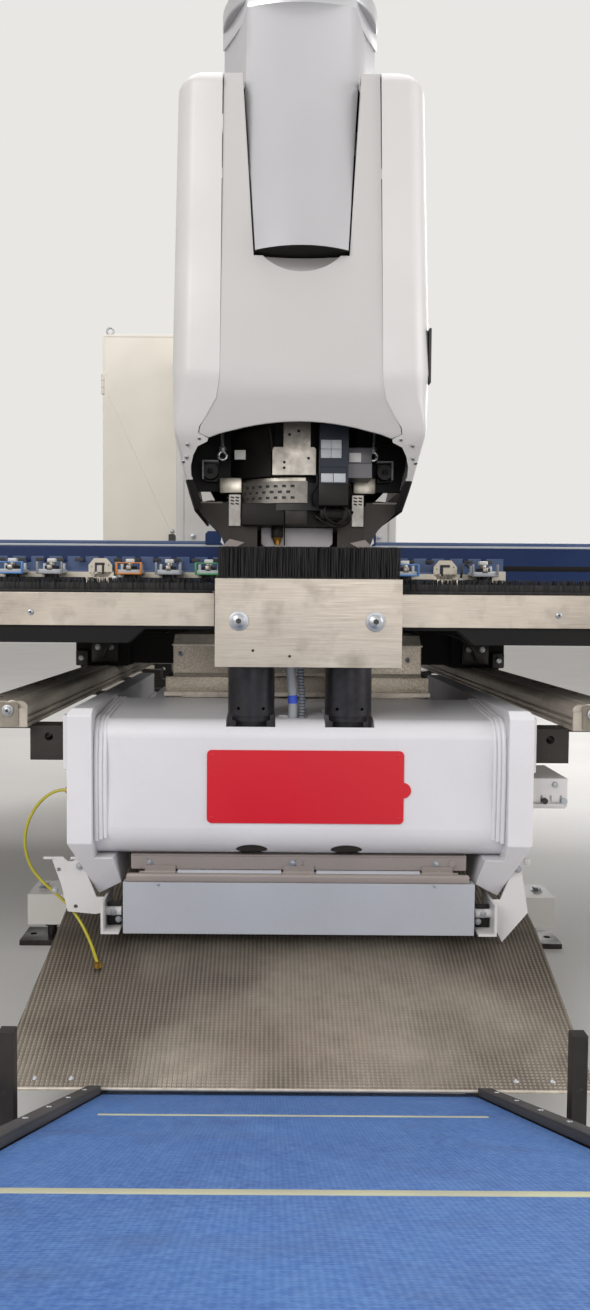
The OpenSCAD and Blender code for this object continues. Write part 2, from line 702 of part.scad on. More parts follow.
module jaw(x) {
  w = clamp_w / 2 - 14 - 1;
  along_x(x - w, x + w) {
    polygon([[clamp_front_y, sheet_z + 1.5], [clamp_front_y, sheet_z + 12],
             [jaw_axis_y - 12, jaw_axis_z + 9], [jaw_axis_y, jaw_axis_z + 12],
             [jaw_axis_y + 12, jaw_axis_z], [jaw_axis_y, sheet_z + 8],
             [clamp_front_y + 24, sheet_z + 8], [clamp_front_y + 24, sheet_z + 1.5]]);
    translate([jaw_axis_y, jaw_axis_z]) circle(12);
  }
  bar_x(x - w - 15, x + w + 15, jaw_axis_y, jaw_axis_z, 6);
}
module clamp_jaw_left() { color("#8d8a86") at_frame() jaw(clamp_left_x); }
module clamp_jaw_right() { color("#8d8a86") at_frame() jaw(clamp_right_x); }

// Covers of the punching head
// A skin of stacked outlines that all have the same number of points
module loft(rows) {
  n = len(rows[0]);
  m = len(rows);
  polyhedron(
    points = [for (row = rows) each row],
    faces = concat(
      [[for (k = [0 : n - 1]) k]],
      [for (i = [0 : m - 2], k = [0 : n - 1]) [i * n + k, (i + 1) * n + k, (i + 1) * n + (k + 1) % n]],
      [for (i = [0 : m - 2], k = [0 : n - 1])
        [i * n + k, (i + 1) * n + (k + 1) % n, i * n + (k + 1) % n]],
      [[for (k = [n - 1 : -1 : 0]) (m - 1) * n + k]]));
}
// Sections of a side cover from its rim up: height, front, outer side and front corner
shell_rows = [[shell_bottom_z, -215, head_half_w - 36, head_half_w - 37],
  [1149, -236, head_half_w - 23, head_half_w - 24], [1258, -300, head_half_w, head_half_w - 2],
  [1287, -311, head_half_w, head_half_w - 7], [1320, -322, head_half_w, head_half_w - 21],
  [knee_z, head_front_y, head_half_w, head_half_w - 33],
  [shell_top_z - 38, head_top_y - 36, head_half_w, head_half_w - 33],
  [shell_top_z - 12, head_top_y - 26, head_half_w - 14, head_half_w - 45],
  [shell_top_z, head_top_y, head_half_w - 38, head_half_w - 59]];
module shell_form(w) {
  rows = [for (i = [0 : len(shell_rows) - 1]) let (r = shell_rows[i], top = i == len(shell_rows) - 1,
    z = i == 0 ? r[0] - 2 * w : top ? r[0] - w : r[0])
    [[-2 * w, r[1] + w, z], [r[3] - w, r[1] + w, z], [r[2] - w, r[1] + 36 + w, z],
     [r[2] - w, head_rear_y + 2 * w, z], [-2 * w, head_rear_y + 2 * w, z]]];
  loft(rows);
}
// Seam between a side cover and the fairing, from the top down
seam_top = [[167, shell_top_z + 10], [165, 1607], [165, knee_z], [176, 1320], [201, 1264], [206, 1252]];
seam_low = [[190, 1242], [191, 1237], [212, 1228], [222, 1211], [228, 1190], [228, 1171], [215, 1138],
            [207, shell_bottom_z - 10]];
seam_out = head_half_w + 5;
module side_shell() {
  difference() {
    intersection() {
      shell_form(0);
      union() {
        along_y(head_front_y - 10, -150) polygon(concat(seam_top, seam_low, [
          [seam_out, shell_bottom_z - 10], [seam_out, shell_top_z + 10]]));
        block(drive_r + 4, seam_out, -151, head_rear_y, shell_bottom_z - 10, shell_top_z + 10);
      }
    }
    shell_form(shell_t);
  }
}
module side_shell_left() { color("#d9d6d4") at_frame() mirror([1, 0, 0]) side_shell(); }
module side_shell_right() { color("#d9d6d4") at_frame() side_shell(); }

// Side outline of the fairing's skin, set back from the side covers' faces
fairing_top_z = shell_top_z - 10;
fairing_turn_z = knee_z - 117;
fairing_low_z = knee_z - 150;
fairing_turn_y = head_front_y + 41;
fairing_low_y = head_front_y + 54;
fairing_rear_y = head_front_y + 200;
module fairing_skin(w) {
  polygon([[head_top_y + 8 + w, fairing_top_z - w], [head_top_y - 30 + w, fairing_top_z - 34 - w],
           [head_front_y + 1 + w, knee_z], [fairing_turn_y + w, fairing_turn_z],
           [fairing_low_y + w, fairing_low_z - 2 * w], [fairing_rear_y, fairing_low_z - 2 * w],
           [fairing_rear_y, fairing_top_z - w]]);
}
seam_gap = 1.5;
// The arch of the fairing's lower edge: its height in the middle and its ends
arch_z = 1276;
arch_x = 187;
arch_drop = 32;
// The cut-out for the hood: half its width low down and at the fold
hood_cut_low_x = 98;
hood_cut_x = 125;
// The hood's foot and the ring that it reaches up to
hood_foot_z = 1593;
hood_top_z = drive_ring_z;
hood_foot_y = -335;
hood_top_y = -131;
hood_seam_z = shell_top_z - 9;
module fairing() {
  edge = [for (p = seam_top) [p[0] - seam_gap, p[1]]];
  left_edge = [for (i = [len(edge) - 1 : -1 : 0]) [-edge[i][0], edge[i][1]]];
  arch = [for (i = [-8 : 8]) [-arch_x * i / 8, arch_z - arch_drop * pow(i / 8, 2)]];
  color("#c5c2bf") at_frame() difference() {
    intersection() {
      along_y(head_front_y - 10, fairing_rear_y + 20) polygon(concat(edge, arch, left_edge));
      along_x(-seam_out, seam_out) fairing_skin(0);
    }
    along_x(-seam_out - 1, seam_out + 1) fairing_skin(shell_t);
    along_y(head_front_y - 20, 0) polygon([[-hood_cut_low_x, hood_foot_z - 6],
      [hood_cut_low_x, hood_foot_z - 6], [hood_cut_x, hood_seam_z], [hood_cut_x, shell_top_z + 20],
      [-hood_cut_x, shell_top_z + 20], [-hood_cut_x, hood_seam_z]]);
    along_y(head_front_y - 20, 0) intersection() {
      translate([0, hood_foot_z + 70]) circle(110);
      translate([-98, hood_foot_z - 60]) square([196, 60]);
    }
  }
}
// Share of the way from one value to another
function mix(a, b, t) = a + (b - a) * t;
arc_steps = 12;
// One level outline of the hood: a shallow arc in front and flanks that run back
function hood_row(z, half, rise, side_x, side_y, back_x) =
  let (t = (z - hood_foot_z) / (hood_top_z - hood_foot_z), f = mix(hood_foot_y, hood_top_y, t))
  concat([[-back_x, 20, z], [-side_x, side_y, z]],
    [for (i = [0 : arc_steps]) let (u = 2 * i / arc_steps - 1) [u * half, f + rise * u * u, z]],
    [[side_x, side_y, z], [back_x, 20, z]]);
module drive_hood() {
  lower = [for (i = [0 : 6]) let (t = i / 6)
    hood_row(mix(hood_foot_z, hood_seam_z, t), mix(95, 121, t), mix(30, 24, t), mix(96, 122, t),
             mix(-270, -140, t), mix(96, 122, t))];
  upper = [for (i = [0 : 4]) let (t = i / 4)
    hood_row(mix(hood_seam_z + 1, hood_top_z, t), mix(121, 119, t), mix(24, 20, t), mix(150, 148, t),
             mix(-60, -33, t), drive_r - 1)];
  color("#b9b8b8") at_frame() loft(concat(lower, upper));
}
drive_y = 20;
module drive_housing() {
  ring_top = drive_ring_z + drive_ring_h;
  color("#c3c2c0") at_frame() translate([0, drive_y, 0]) {
    rotate_extrude() polygon([[0, drive_ring_z], [drive_r, drive_ring_z], [drive_r + 3, drive_ring_z + 4],
      [drive_r + 3, ring_top - 4], [drive_r, ring_top], [drive_r - 8, ring_top + 3],
      [drive_r - 8, drive_top_z - 40], [drive_r - 18, drive_top_z - 14],
      [drive_r - 44, drive_top_z], [0, drive_top_z]]);
    intersection() {
      bar_z(0, 0, shell_top_z - 60, drive_ring_z + cut, drive_r - 1);
      block(-drive_r, drive_r, 0.5, drive_r, shell_top_z - 60, drive_ring_z + cut);
    }
  }
}

// Working parts of the head
turret_r = 140;
head_low_z = 1078;
head_r = 150;
head_shelf_z = 1320;
head_side_x = 200;
function fairing_in_y(z) = mix(head_front_y + 1, head_top_y - 30, (z - knee_z)
  / (fairing_top_z - 34 - knee_z)) + shell_t;
ring_top_z = 1182;
ring_h = 35;
body_rib_drop = 214;
body_rib_zs = [knee_z - 25, shell_top_z - body_rib_drop];
bulkhead_y = -60;
bulkhead_t = 8;
bulkhead_low_z = knee_z - 215;
bulkhead_top_z = knee_z + 125;
body_rib_ys = [head_rear_y - 190, head_rear_y - 50];
pin_xs = [-120, 120];
pin_zs = [knee_z + 25, knee_z + 145];
body_front_y = -150;
body_top_z = shell_top_z - 114;
ram_hole_z = 1440;
module head_body() {
  wall = shell_t + run_gap;
  color("#2b2523") at_frame() difference() {
    union() {
      block(-180, 180, body_front_y, 0, head_shelf_z, hood_foot_z - 8);
      block(-148, 148, drive_y + 1, head_rear_y, 1275, shell_top_z - 60);
      block(-head_side_x, head_side_x, bulkhead_y, head_rear_y, bulkhead_low_z, hood_foot_z - 8);
      block(-head_side_x, head_side_x, drive_y + 1, head_rear_y, hood_foot_z - 9, body_top_z);
      bar_z(0, 0, ring_top_z + 2, head_shelf_z + cut, head_r);
      bar_z(0, 0, head_low_z, ring_top_z + 3, turret_r);
      for (z = body_rib_zs, y = body_rib_ys) bar_x(-head_half_w + wall, head_half_w - wall, y, z, 12);
      for (x = pin_xs, z = pin_zs)
        bar_y(x, fairing_in_y(z + 10) + run_gap, body_front_y + cut, z, 10);
      for (m = [0, 1]) mirror([m, 0, 0]) intersection() {
        shell_form(wall + 0.4);
        block(head_side_x - 20, head_half_w, bulkhead_y, bulkhead_y + bulkhead_t, bulkhead_low_z,
              bulkhead_top_z);
      }
    }
    bar_z(0, 0, head_low_z - cut, ram_hole_z, ram_r + run_gap);
  }
}
module clamp_ring() {
  z0 = ring_top_z - ring_h;
  color("#bab5ab") at_frame() difference() {
    bar_z(0, 0, z0, ring_top_z, ring_r);
    bar_z(0, 0, z0 - cut, ring_top_z + cut, turret_r + 0.05);
    block(18, 112, -ring_r - 5, -60, z0 - cut, ring_top_z + cut);
    block(-ring_r - 5, ring_r + 5, -60, ring_r + 5, z0 - cut, ring_top_z + cut);
  }
}
module ring_guard() {
  z1 = ring_top_z - ring_h - 1;
  z0 = z1 - 34;
  color("#4d4a48") at_frame() {
    difference() {
      bar_z(0, 0, z0, z1, turret_r + 4);
      bar_z(0, 0, z0 - cut, z1 + cut, turret_r + run_gap);
      block(-200, 200, -60, 200, z0 - cut, z1 + cut);
      block(19, 200, -200, 0, z0 - cut, z1 + cut);
      for (k = [0 : 2], a = [182 + 7 * k / 2 : 7 : 268]) rotate([0, 0, a])
        block(turret_r - 5, turret_r + 10, -5, 3, z0 + 6 + 9 * k, z0 + 10 + 9 * k);
    }
    for (a = [196, 334]) rotate([0, 0, a]) difference() {
      block(turret_r + run_gap, turret_r + 14, -12, 12, head_low_z, z1 - cut);
      for (z = [z0 - 12 : 13 : z1 - 14]) block(turret_r + 8, turret_r + 15, -8, 8, z, z + 5);
    }
  }
}
module centre_mount() {
  color("#8a847d") at_frame() difference() {
    along_y(-172, -head_r - run_gap) polygon([[-57, 1185], [38, 1185], [38, 1241], [34, 1245], [26, 1245],
      [26, 1306], [-33, 1306], [-33, 1245], [-53, 1245], [-57, 1241]]);
    for (p = [[-20, 1272], [0, 1280], [-31, 1212], [-31, 1200], [22, 1221]])
      bar_y(p[0], -180, -head_r + cut, p[1], 3);
  }
}
module head_modules() {
  color("#27303f") at_frame() {
    difference() {
      block(44, 107, -205, -80, 1116, 1300);
      bar_z(0, 0, 1110, 1310, head_r + run_gap);
      block(48, 94, -210, -203, 1222, 1262);
      block(46, 103, -210, -203, 1178, 1198);
    }
    difference() {
      block(107.5, 160, -180, -61, 1178, 1209);
      bar_z(0, 0, 1170, 1310, ring_r + run_gap);
    }
    intersection() {
      difference() {
        bar_z(0, 0, ring_top_z + 2, 1290, head_r + 14);
        bar_z(0, 0, ring_top_z + cut, 1291, head_r + run_gap);
      }
      block(-170, -60, -200, -61, ring_top_z, 1292);
    }
  }
}
module guide_rollers() {
  color("#242224") at_frame() for (s = [-1, 1]) {
    bar_y(s * 196, -110, -80, 1200, 17);
    bar_y(s * 196, -116, -60, 1200, 6);
    block(s * 196 - 14, s * 196 + 14, -80, -60, 1180, 1222);
  }
}
module lifting_eyes() {
  eye_z = 1233;
  color("#c9cacb") at_frame() for (s = [-1, 1]) translate([s * 168, -120, 0]) {
    bar_z(0, 0, eye_z + 8, head_shelf_z, 5);
    translate([0, 0, eye_z]) rotate([90, 0, 0]) rotate_extrude() translate([9, 0]) circle(4, $fn = 24);
  }
}
module spray_nozzle() {
  color("#b98b3c") at_frame() translate([-45, -102, 0]) {
    difference() {
      bar_z(0, 0, 1044, 1064, 12);
      bar_z(0, 0, 1043, 1050, 5);
    }
    bar_z(0, 0, 1063, 1078, 7);
  }
}
skirt_half_w = head_half_w - 43;
module skirt_outline(w, low) {
  side = [[skirt_half_w - w, 1160 + w], [skirt_half_w - w, 1108], [181 - w, 1056 + low],
          [163 - w, 1027 + low]];
  polygon(concat([for (q = side) [-q[0], q[1]]], [for (i = [3 : -1 : 0]) side[i]]));
}
module head_skirt() {
  color("#6b635d") at_frame() difference() {
    along_y(-120, 160) skirt_outline(0, 0);
    bar_z(0, 0, 1000, 1160 + cut, ring_r + 6);
    block(-ring_r, ring_r, -121, -60, 1000, 1161);
    difference() {
      along_y(-112, 130) skirt_outline(8, 30);
      block(-158, 158, -113, 131, 1000, 1170);
    }
  }
}
punch_z = stripper_z + 3;
punch_top_z = 1150;
module ram() {
  color("#a9a6a6") at_frame() difference() {
    union() {
      along_y(-stripper_half_w, stripper_half_w) polygon([
        [-stripper_half_w, stripper_z + 8], [-stripper_half_w + 8, stripper_z],
        [stripper_half_w - 8, stripper_z], [stripper_half_w, stripper_z + 8],
        [stripper_half_w, head_low_z - 1], [-stripper_half_w, head_low_z - 1]]);
      bar_z(0, 0, head_low_z - 10, 1380, ram_r);
    }
    bar_z(0, 0, stripper_z - cut, punch_top_z + run_gap, punch_r + run_gap);
  }
}
module punch() {
  color("#7d7a78") at_frame() union() {
    bar_z(0, 0, stripper_z + 18, punch_top_z, punch_r);
    bar_z(0, 0, punch_z, stripper_z + 19, punch_r - 9);
  }
}

// Chute, flap and the brackets at the flap's ends
chute_bend_y = -400;
chute_rear_y = slug_w / 2 + 62;
chute_rise = tan(chute_slope);
rear_rise = tan(12);
function chute_z(y) = y < chute_bend_y ? chute_front_z + (y - chute_front_y) * chute_rise
  : chute_front_z + (chute_bend_y - chute_front_y) * chute_rise + (y - chute_bend_y) * rear_rise;
module chute() {
  t = chute_t / cos(chute_slope);
  back_x = arm_half_w - cheek_lean - 5;
  color("#a79f92") at_frame() block(-back_x, back_x, chute_rear_y, chute_rear_y + chute_t,
                                    chute_z(chute_rear_y) - cut, arm_bottom_z);
  color("#a79f92") at_frame() along_x(-chute_half_w, chute_half_w) polygon([
    [chute_front_y, chute_front_z], [chute_bend_y, chute_z(chute_bend_y)],
    [chute_rear_y + chute_t, chute_z(chute_rear_y)], [chute_rear_y + chute_t, chute_z(chute_rear_y) - t],
    [chute_bend_y, chute_z(chute_bend_y) - t], [chute_front_y, chute_front_z - t]]);
}
flap_half_w = arm_half_w - flap_gap;
hinge_y = arm_front_y + 25;
hinge_z = flap_z + flap_h + 11;
hinge_r = 6;
knuckles = [[-300, -240], [-30, 30], [240, 300]];
flap_knuckles = [[-236, -34], [34, 236]];
module flap_beam() {
  color("#c9c5c0") at_frame() {
    block(-flap_half_w + 12, flap_half_w - 12, hinge_y + 8, hinge_y + 60, hinge_z + 10, arm_bottom_z);
    for (k = knuckles) {
      bar_x(k[0], k[1], hinge_y, hinge_z, hinge_r);
      block(k[0], k[1], hinge_y, hinge_y + 12, hinge_z, hinge_z + 14);
    }
    bar_x(-310, 310, hinge_y, hinge_z, 3);
    for (x = [-300, 0, 300]) bar_y(x, hinge_y + 2, hinge_y + 9, hinge_z + 20, 7);
  }
}
module chute_flap() {
  color("#c9cbcd") at_frame() difference() {
    union() {
      block(-flap_half_w, flap_half_w, hinge_y - flap_t + 5, hinge_y + 5, flap_z, flap_z + flap_h - 3);
      for (k = flap_knuckles) {
        bar_x(k[0], k[1], hinge_y, hinge_z, hinge_r);
        block(k[0], k[1], hinge_y - 5, hinge_y + 1, flap_z + flap_h - 6, hinge_z);
      }
    }
    block(-flap_half_w + 4, flap_half_w - 4, hinge_y - flap_t + 9, hinge_y + 5 + cut, flap_z + 4,
          flap_z + flap_h - 8);
    for (k = flap_knuckles) bar_x(k[0] - cut, k[1] + cut, hinge_y, hinge_z, 3 + run_gap);
  }
}
hanger_y = cheek_front_y + 50;
// Outer face of a cheek's leaning toe at a height
function toe_x(z) = arm_half_w + cheek_t - cheek_lean * (cheek_knee_z - z) / (cheek_knee_z - cheek_toe_z);
module flap_brackets() {
  low = cheek_toe_z - run_gap;
  top = arm_bottom_z - 6;
  side_x = arm_half_w - 19;
  out_x = arm_half_w + cheek_t;
  foot_z = flap_z + 3;
  color("#dad8d5") at_frame() {
    difference() {
      along_y(hanger_y, hanger_y + 5) polygon([
        [-out_x - 41, top], [-toe_x(top) - run_gap, top], [-toe_x(cheek_toe_z) - run_gap, low],
        [-side_x, low], [-side_x, foot_z + 32], [-out_x + 46, foot_z + 27],
        [-out_x - 9, foot_z + 32], [-out_x - 21, foot_z + 84]]);
      bar_y(-out_x - 3, hanger_y - cut, hanger_y + 6, top + 6, 15);
      bar_y(-out_x - 26, hanger_y - cut, hanger_y + 6, top - 25, 4);
      bar_y(-out_x + 7, hanger_y - cut, hanger_y + 6, foot_z + 42, 4);
    }
    along_y(hanger_y, hanger_y + 5) polygon([[toe_x(top) + run_gap, top],
      [out_x - 11, top + 2], [out_x + 7, foot_z + 36], [out_x - 43, chute_z(hanger_y + 5) + 2],
      [side_x, foot_z + 24], [side_x, low], [toe_x(cheek_toe_z) + run_gap, low]]);
    for (m = [0, 1]) mirror([m, 0, 0]) {
      block(side_x, side_x + 5, hanger_y - 38, hanger_y + 80, foot_z, low);
      block(flap_half_w + 6, side_x + 5, hanger_y - 38, hanger_y + 32, foot_z, foot_z + 5);
      bar_x(flap_half_w + 6, side_x + 2, hanger_y + 2, foot_z + 34, 9);
    }
  }
}
cable_bracket_w = 84;
cable_bracket_front_y = arm_front_y + 50;
cable_bracket_d = 160;
cable_bracket_z = 564;
cable_bracket_h = 64;
clip_xs = [23, 61];
module cable_bracket() {
  x0 = arm_half_w + cheek_t;
  x1 = x0 + cable_bracket_w;
  y0 = cable_bracket_front_y;
  z1 = cable_bracket_z;
  low = z1 - cable_bracket_h;
  color("#c9c7c4") at_frame() difference() {
    union() {
      block(x0, x1, y0, y0 + cable_bracket_d, z1 - 4, z1);
      block(x0 + 2, x1, y0 - 4, y0, low + 8, z1);
      block(x0, x0 + 4, y0, y0 + cable_bracket_d, low, z1);
      block(x0 + 2, x1 - 2, y0 - cut, y0 + 90, low + 4, low + 30);
    }
    for (x = [for (c = clip_xs) x0 + c]) {
      block(x - 12, x + 12, y0 - 5, y0 + 1, low + 14, low + 18);
      block(x - 12, x - 8, y0 - 5, y0 + 1, low + 14, low + 30);
      block(x + 8, x + 12, y0 - 5, y0 + 1, low + 14, low + 30);
    }
  }
}

// Air hose from the left cheek to the chute
hose_r = 4;
hose_route = [[-455, -415, 533], [-474, -415, 532], [-494, -415, 523], [-513, -415, 506],
  [-528, -415, 483], [-538, -415, 456], [-541, -415, 428], [-537, -415, 400], [-526, -415, 374],
  [-508, -416, 352], [-487, -418, 333], [-465, -421, 315], [-445, -427, 296], [-427, -438, 276],
  [-412, -454, 258], [-399, -474, 242], [-389, -494, 230], [-381, -512, 222]];
function unit(v) = v / norm(v);
function tangent(p, i) = unit(p[min(i + 1, len(p) - 1)] - p[max(i - 1, 0)]);
function ring_at(p, i, r, n) =
  let (t = tangent(p, i), u = unit(cross(t, [0, 1, 0])), v = cross(t, u))
  [for (k = [0 : n - 1]) p[i] + r * (cos(360 * k / n) * u + sin(360 * k / n) * v)];
module tube(p, r, n) {
  m = len(p);
  polyhedron(
    points = [for (i = [0 : m - 1]) each ring_at(p, i, r, n)],
    faces = concat(
      [[for (k = [0 : n - 1]) k]],
      [for (i = [0 : m - 2], k = [0 : n - 1])
        [i * n + k, (i + 1) * n + k, (i + 1) * n + (k + 1) % n, i * n + (k + 1) % n]],
      [[for (k = [n - 1 : -1 : 0]) (m - 1) * n + k]]));
}
module air_hose() { color("#c6c22a") at_frame() tube(hose_route, hose_r, 8); }
module hose_fittings() {
  last = hose_route[len(hose_route) - 1];
  color("#b98b3c") at_frame() {
    bar_x(hose_route[0][0] - 4, -arm_half_w - cheek_t, hose_route[0][1], hose_route[0][2], 7);
    bar_x(-arm_half_w - cheek_t - 5, -arm_half_w - cheek_t, hose_route[0][1], hose_route[0][2], 10);
    translate([last[0] + 2, last[1] - 4, chute_z(last[1] + 8) + run_gap]) cylinder(h = 9, r = 8);
  }
}

// Conveyor, drawn along its own run and then tipped up
module on_conveyor() {
  translate([conveyor_x, tail_y, tail_z]) rotate([-conveyor_rise, 0, 0]) children();
}
// An outline drawn along the run and across it, carried over the width
module run_along(x0, x1) {
  translate([x0, 0, 0]) rotate([90, 0, 90]) linear_extrude(x1 - x0) mirror([1, 0]) children();
}
module loop_outline(r) {
  circle(r);
  translate([conveyor_len, 0]) circle(r);
  translate([0, -r]) square([conveyor_len, 2 * r]);
}
plate_in_x = belt_w / 2 + 8;
plate_out_x = plate_in_x + side_plate_t;
axle_r = 10;
post_x = 403;
post_w = 22;
post_y = -980;
rest_y = -600;
leg_y = -1630;
module conveyor_frame() {
  edge_y = [chute_front_y - 3, chute_front_y + 40];
  under = chute_t / cos(chute_slope) + 1;
  color("#3a3a3d") at_frame() difference() { union() {
    on_conveyor() {
      for (m = [0, 1]) mirror([m, 0, 0]) difference() {
        run_along(plate_in_x, plate_out_x) loop_outline(side_end_r());
        for (s = [0, conveyor_len]) translate([0, -s, 0])
          bar_x(plate_in_x - cut, plate_out_x + cut, 0, 0, axle_r + run_gap);
      }
      run_along(-plate_in_x, plate_in_x) translate([roller_r + 25, -12])
        square([conveyor_len - 2 * roller_r - 50, 12 + roller_r - run_gap]);
    }
    for (s = [-1, 1]) {
      px = conveyor_x + s * post_x;
      block(px - post_w / 2, px + post_w / 2, post_y - post_w / 2, post_y + post_w / 2, 0, 300);
      block(min(px, conveyor_x + s * (plate_out_x - 2)), max(px, conveyor_x + s * (plate_out_x - 2)),
            post_y - post_w / 2, post_y + post_w / 2, 128, 150);
      lx = conveyor_x + s * (plate_out_x + post_w / 2 - 1);
      block(lx - post_w / 2, lx + post_w / 2, leg_y - 20, leg_y + 20, 0, 430);
      block(lx - post_w / 2, lx + post_w / 2, rest_y - 15, rest_y + 15, 0, rest_top());
      block(lx - post_w / 2, lx + post_w / 2, tail_y - 15, rest_y, 40, 66);
    }
    block(conveyor_x - plate_out_x - 10, conveyor_x + plate_out_x + 10, rest_y - 15, rest_y + 15,
          rest_top() - 30, rest_top());
  }
    along_x(-chute_half_w - 2, chute_half_w + 2) polygon([
      [edge_y[0], chute_z(edge_y[0]) - under], [edge_y[1], chute_z(edge_y[1]) - under],
      [edge_y[1], chute_z(edge_y[1]) + 60], [edge_y[0], chute_z(edge_y[0]) + 60]]);
  }
}
// Height at which the chute rests on the conveyor's rear cross bar
function rest_top() = chute_z(rest_y - 15) - chute_t / cos(chute_slope);
module conveyor_belt() {
  color("#3f73b8") at_frame() on_conveyor() difference() {
    run_along(-belt_w / 2, belt_w / 2) loop_outline(roller_r + belt_t);
    run_along(-belt_w / 2 - cut, belt_w / 2 + cut) loop_outline(roller_r);
  }
}
module roller() {
  bar_x(-belt_w / 2 + 5, belt_w / 2 - 5, 0, 0, roller_r - run_gap);
  bar_x(-plate_out_x + 2, plate_out_x - 2, 0, 0, axle_r);
}
module drive_roller() {
  color("#9a9a9c") at_frame() on_conveyor() translate([0, -conveyor_len, 0]) roller();
}
module tail_roller() { color("#9a9a9c") at_frame() on_conveyor() roller(); }
module conveyor_motor() {
  color("#4a4d52") at_frame() on_conveyor() translate([0, -conveyor_len, 0]) difference() {
    union() {
      block(plate_out_x, plate_out_x + 80, -30, 45, -42, 40);
      bar_y(plate_out_x + 42, 44, 215, -2, 36);
    }
    bar_x(plate_out_x - cut, plate_out_x + 8, 0, 0, axle_r + 4);
  }
}

// Control cabinet beside the column
cabinet_x1 = -column_half_w;
cabinet_x0 = cabinet_x1 - cabinet_w;
door_t = 20;
door_hinge_r = 7;
cabinet_z = 100;
module cabinet_shell() {
  color("#d9d3c4") at_frame() {
    difference() {
      block(cabinet_x0, cabinet_x1, cabinet_front_y + door_t + run_gap, cabinet_rear_y, cabinet_z,
            cabinet_top_z);
      block(cabinet_x0 + 25, cabinet_x1 - 25, cabinet_front_y, cabinet_rear_y - 20, cabinet_z + 40,
            cabinet_top_z - 40);
    }
    block(cabinet_x0 + 20, cabinet_x1 - 10, cabinet_front_y + 40, cabinet_rear_y - 20, 0, cabinet_z);
  }
}
module cabinet_door() {
  color("#d9d3c4") at_frame() {
    block(cabinet_x0 + 2, cabinet_x1 - 4, cabinet_front_y, cabinet_front_y + door_t, cabinet_z + 4,
          cabinet_top_z - 4);
    block(cabinet_x1 - 60, cabinet_x1 - 40, cabinet_front_y - 18, cabinet_front_y + cut, 1050, 1200);
    for (z = [300, 1060, 1820]) bar_z(cabinet_x0 + 2, cabinet_front_y, z, z + 90, door_hinge_r);
  }
}

base_frame();
levelling_feet();
lower_arm();
arm_cheek_left();
arm_cheek_right();
guide_rails();
rail_brackets();
rear_column();
upper_arm();
die_housing();
lift_columns();
conduits();
fairing();
side_shell_left();
side_shell_right();
drive_hood();
drive_housing();
head_body();
clamp_ring();
ring_guard();
centre_mount();
head_modules();
guide_rollers();
lifting_eyes();
spray_nozzle();
head_skirt();
cabinet_shell();
chute();
flap_brackets();
flap_beam();
cable_bracket();
air_hose();
hose_fittings();
conveyor_frame();
conveyor_belt();
conveyor_motor();
nose_plate();
nose_brush();
nose_block();
nose_screws();
y_beam();
beam_cover();
side_table_left();
side_table_right();
table_carriers();
table_brushes();
table_edges();
carriage_blocks();
x_rail();
clamp_bodies();
tool_cassettes();
clamp_jaw_left();
clamp_jaw_right();
ram();
punch();
die();
chute_flap();
cabinet_door();
drive_roller();
tail_roller();
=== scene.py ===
"""Looks of a CNC turret punch press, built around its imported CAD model."""
import json
import math
import random

import bmesh
import bpy
from mathutils import Matrix, Vector


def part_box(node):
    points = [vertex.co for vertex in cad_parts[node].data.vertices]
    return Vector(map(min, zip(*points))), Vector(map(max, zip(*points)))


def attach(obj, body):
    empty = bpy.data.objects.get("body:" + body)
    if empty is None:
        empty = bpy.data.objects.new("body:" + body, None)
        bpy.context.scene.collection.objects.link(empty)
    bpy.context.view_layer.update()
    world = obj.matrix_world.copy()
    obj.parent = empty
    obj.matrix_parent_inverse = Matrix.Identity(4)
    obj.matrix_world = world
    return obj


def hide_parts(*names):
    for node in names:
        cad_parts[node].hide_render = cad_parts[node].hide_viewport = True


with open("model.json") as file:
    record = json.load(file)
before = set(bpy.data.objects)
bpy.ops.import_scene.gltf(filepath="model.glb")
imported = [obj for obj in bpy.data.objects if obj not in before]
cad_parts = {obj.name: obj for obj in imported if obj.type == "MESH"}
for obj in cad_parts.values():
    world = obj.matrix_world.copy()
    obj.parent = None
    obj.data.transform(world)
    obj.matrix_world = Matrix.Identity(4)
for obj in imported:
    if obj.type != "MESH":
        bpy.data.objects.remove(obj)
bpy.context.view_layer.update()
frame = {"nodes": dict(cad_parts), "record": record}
die_low, die_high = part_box("die")
# Lengths below are millimetres from the punch axis, +Y to the rear, heights from the floor.
PUNCH_Y = (die_low.y + die_high.y) / 2
TO_ROW = Matrix.Translation((0, PUNCH_Y, 0)) @ Matrix.Scale(0.001, 4)
BODY_OF = {n: b for b, ns in frame["record"]["behaviour"]["bodies"].items() for n in ns}
dice = random.Random(7)


# Materials

def srgb(code):
    """A hex colour as linear light."""
    parts = [int(code[i:i + 2], 16) / 255 for i in (1, 3, 5)]
    return [c / 12.92 if c <= 0.04045 else ((c + 0.055) / 1.055) ** 2.4 for c in parts] + [1]


def add(tree, kind, inputs=None, **settings):
    """Adds a node with its settings, values and links."""
    made = tree.nodes.new("ShaderNode" + kind)
    for key, value in settings.items():
        setattr(made, key, value)
    for key, value in (inputs or {}).items():
        if isinstance(value, bpy.types.NodeSocket):
            tree.links.new(value, made.inputs[key])
        else:
            made.inputs[key].default_value = value
    return made


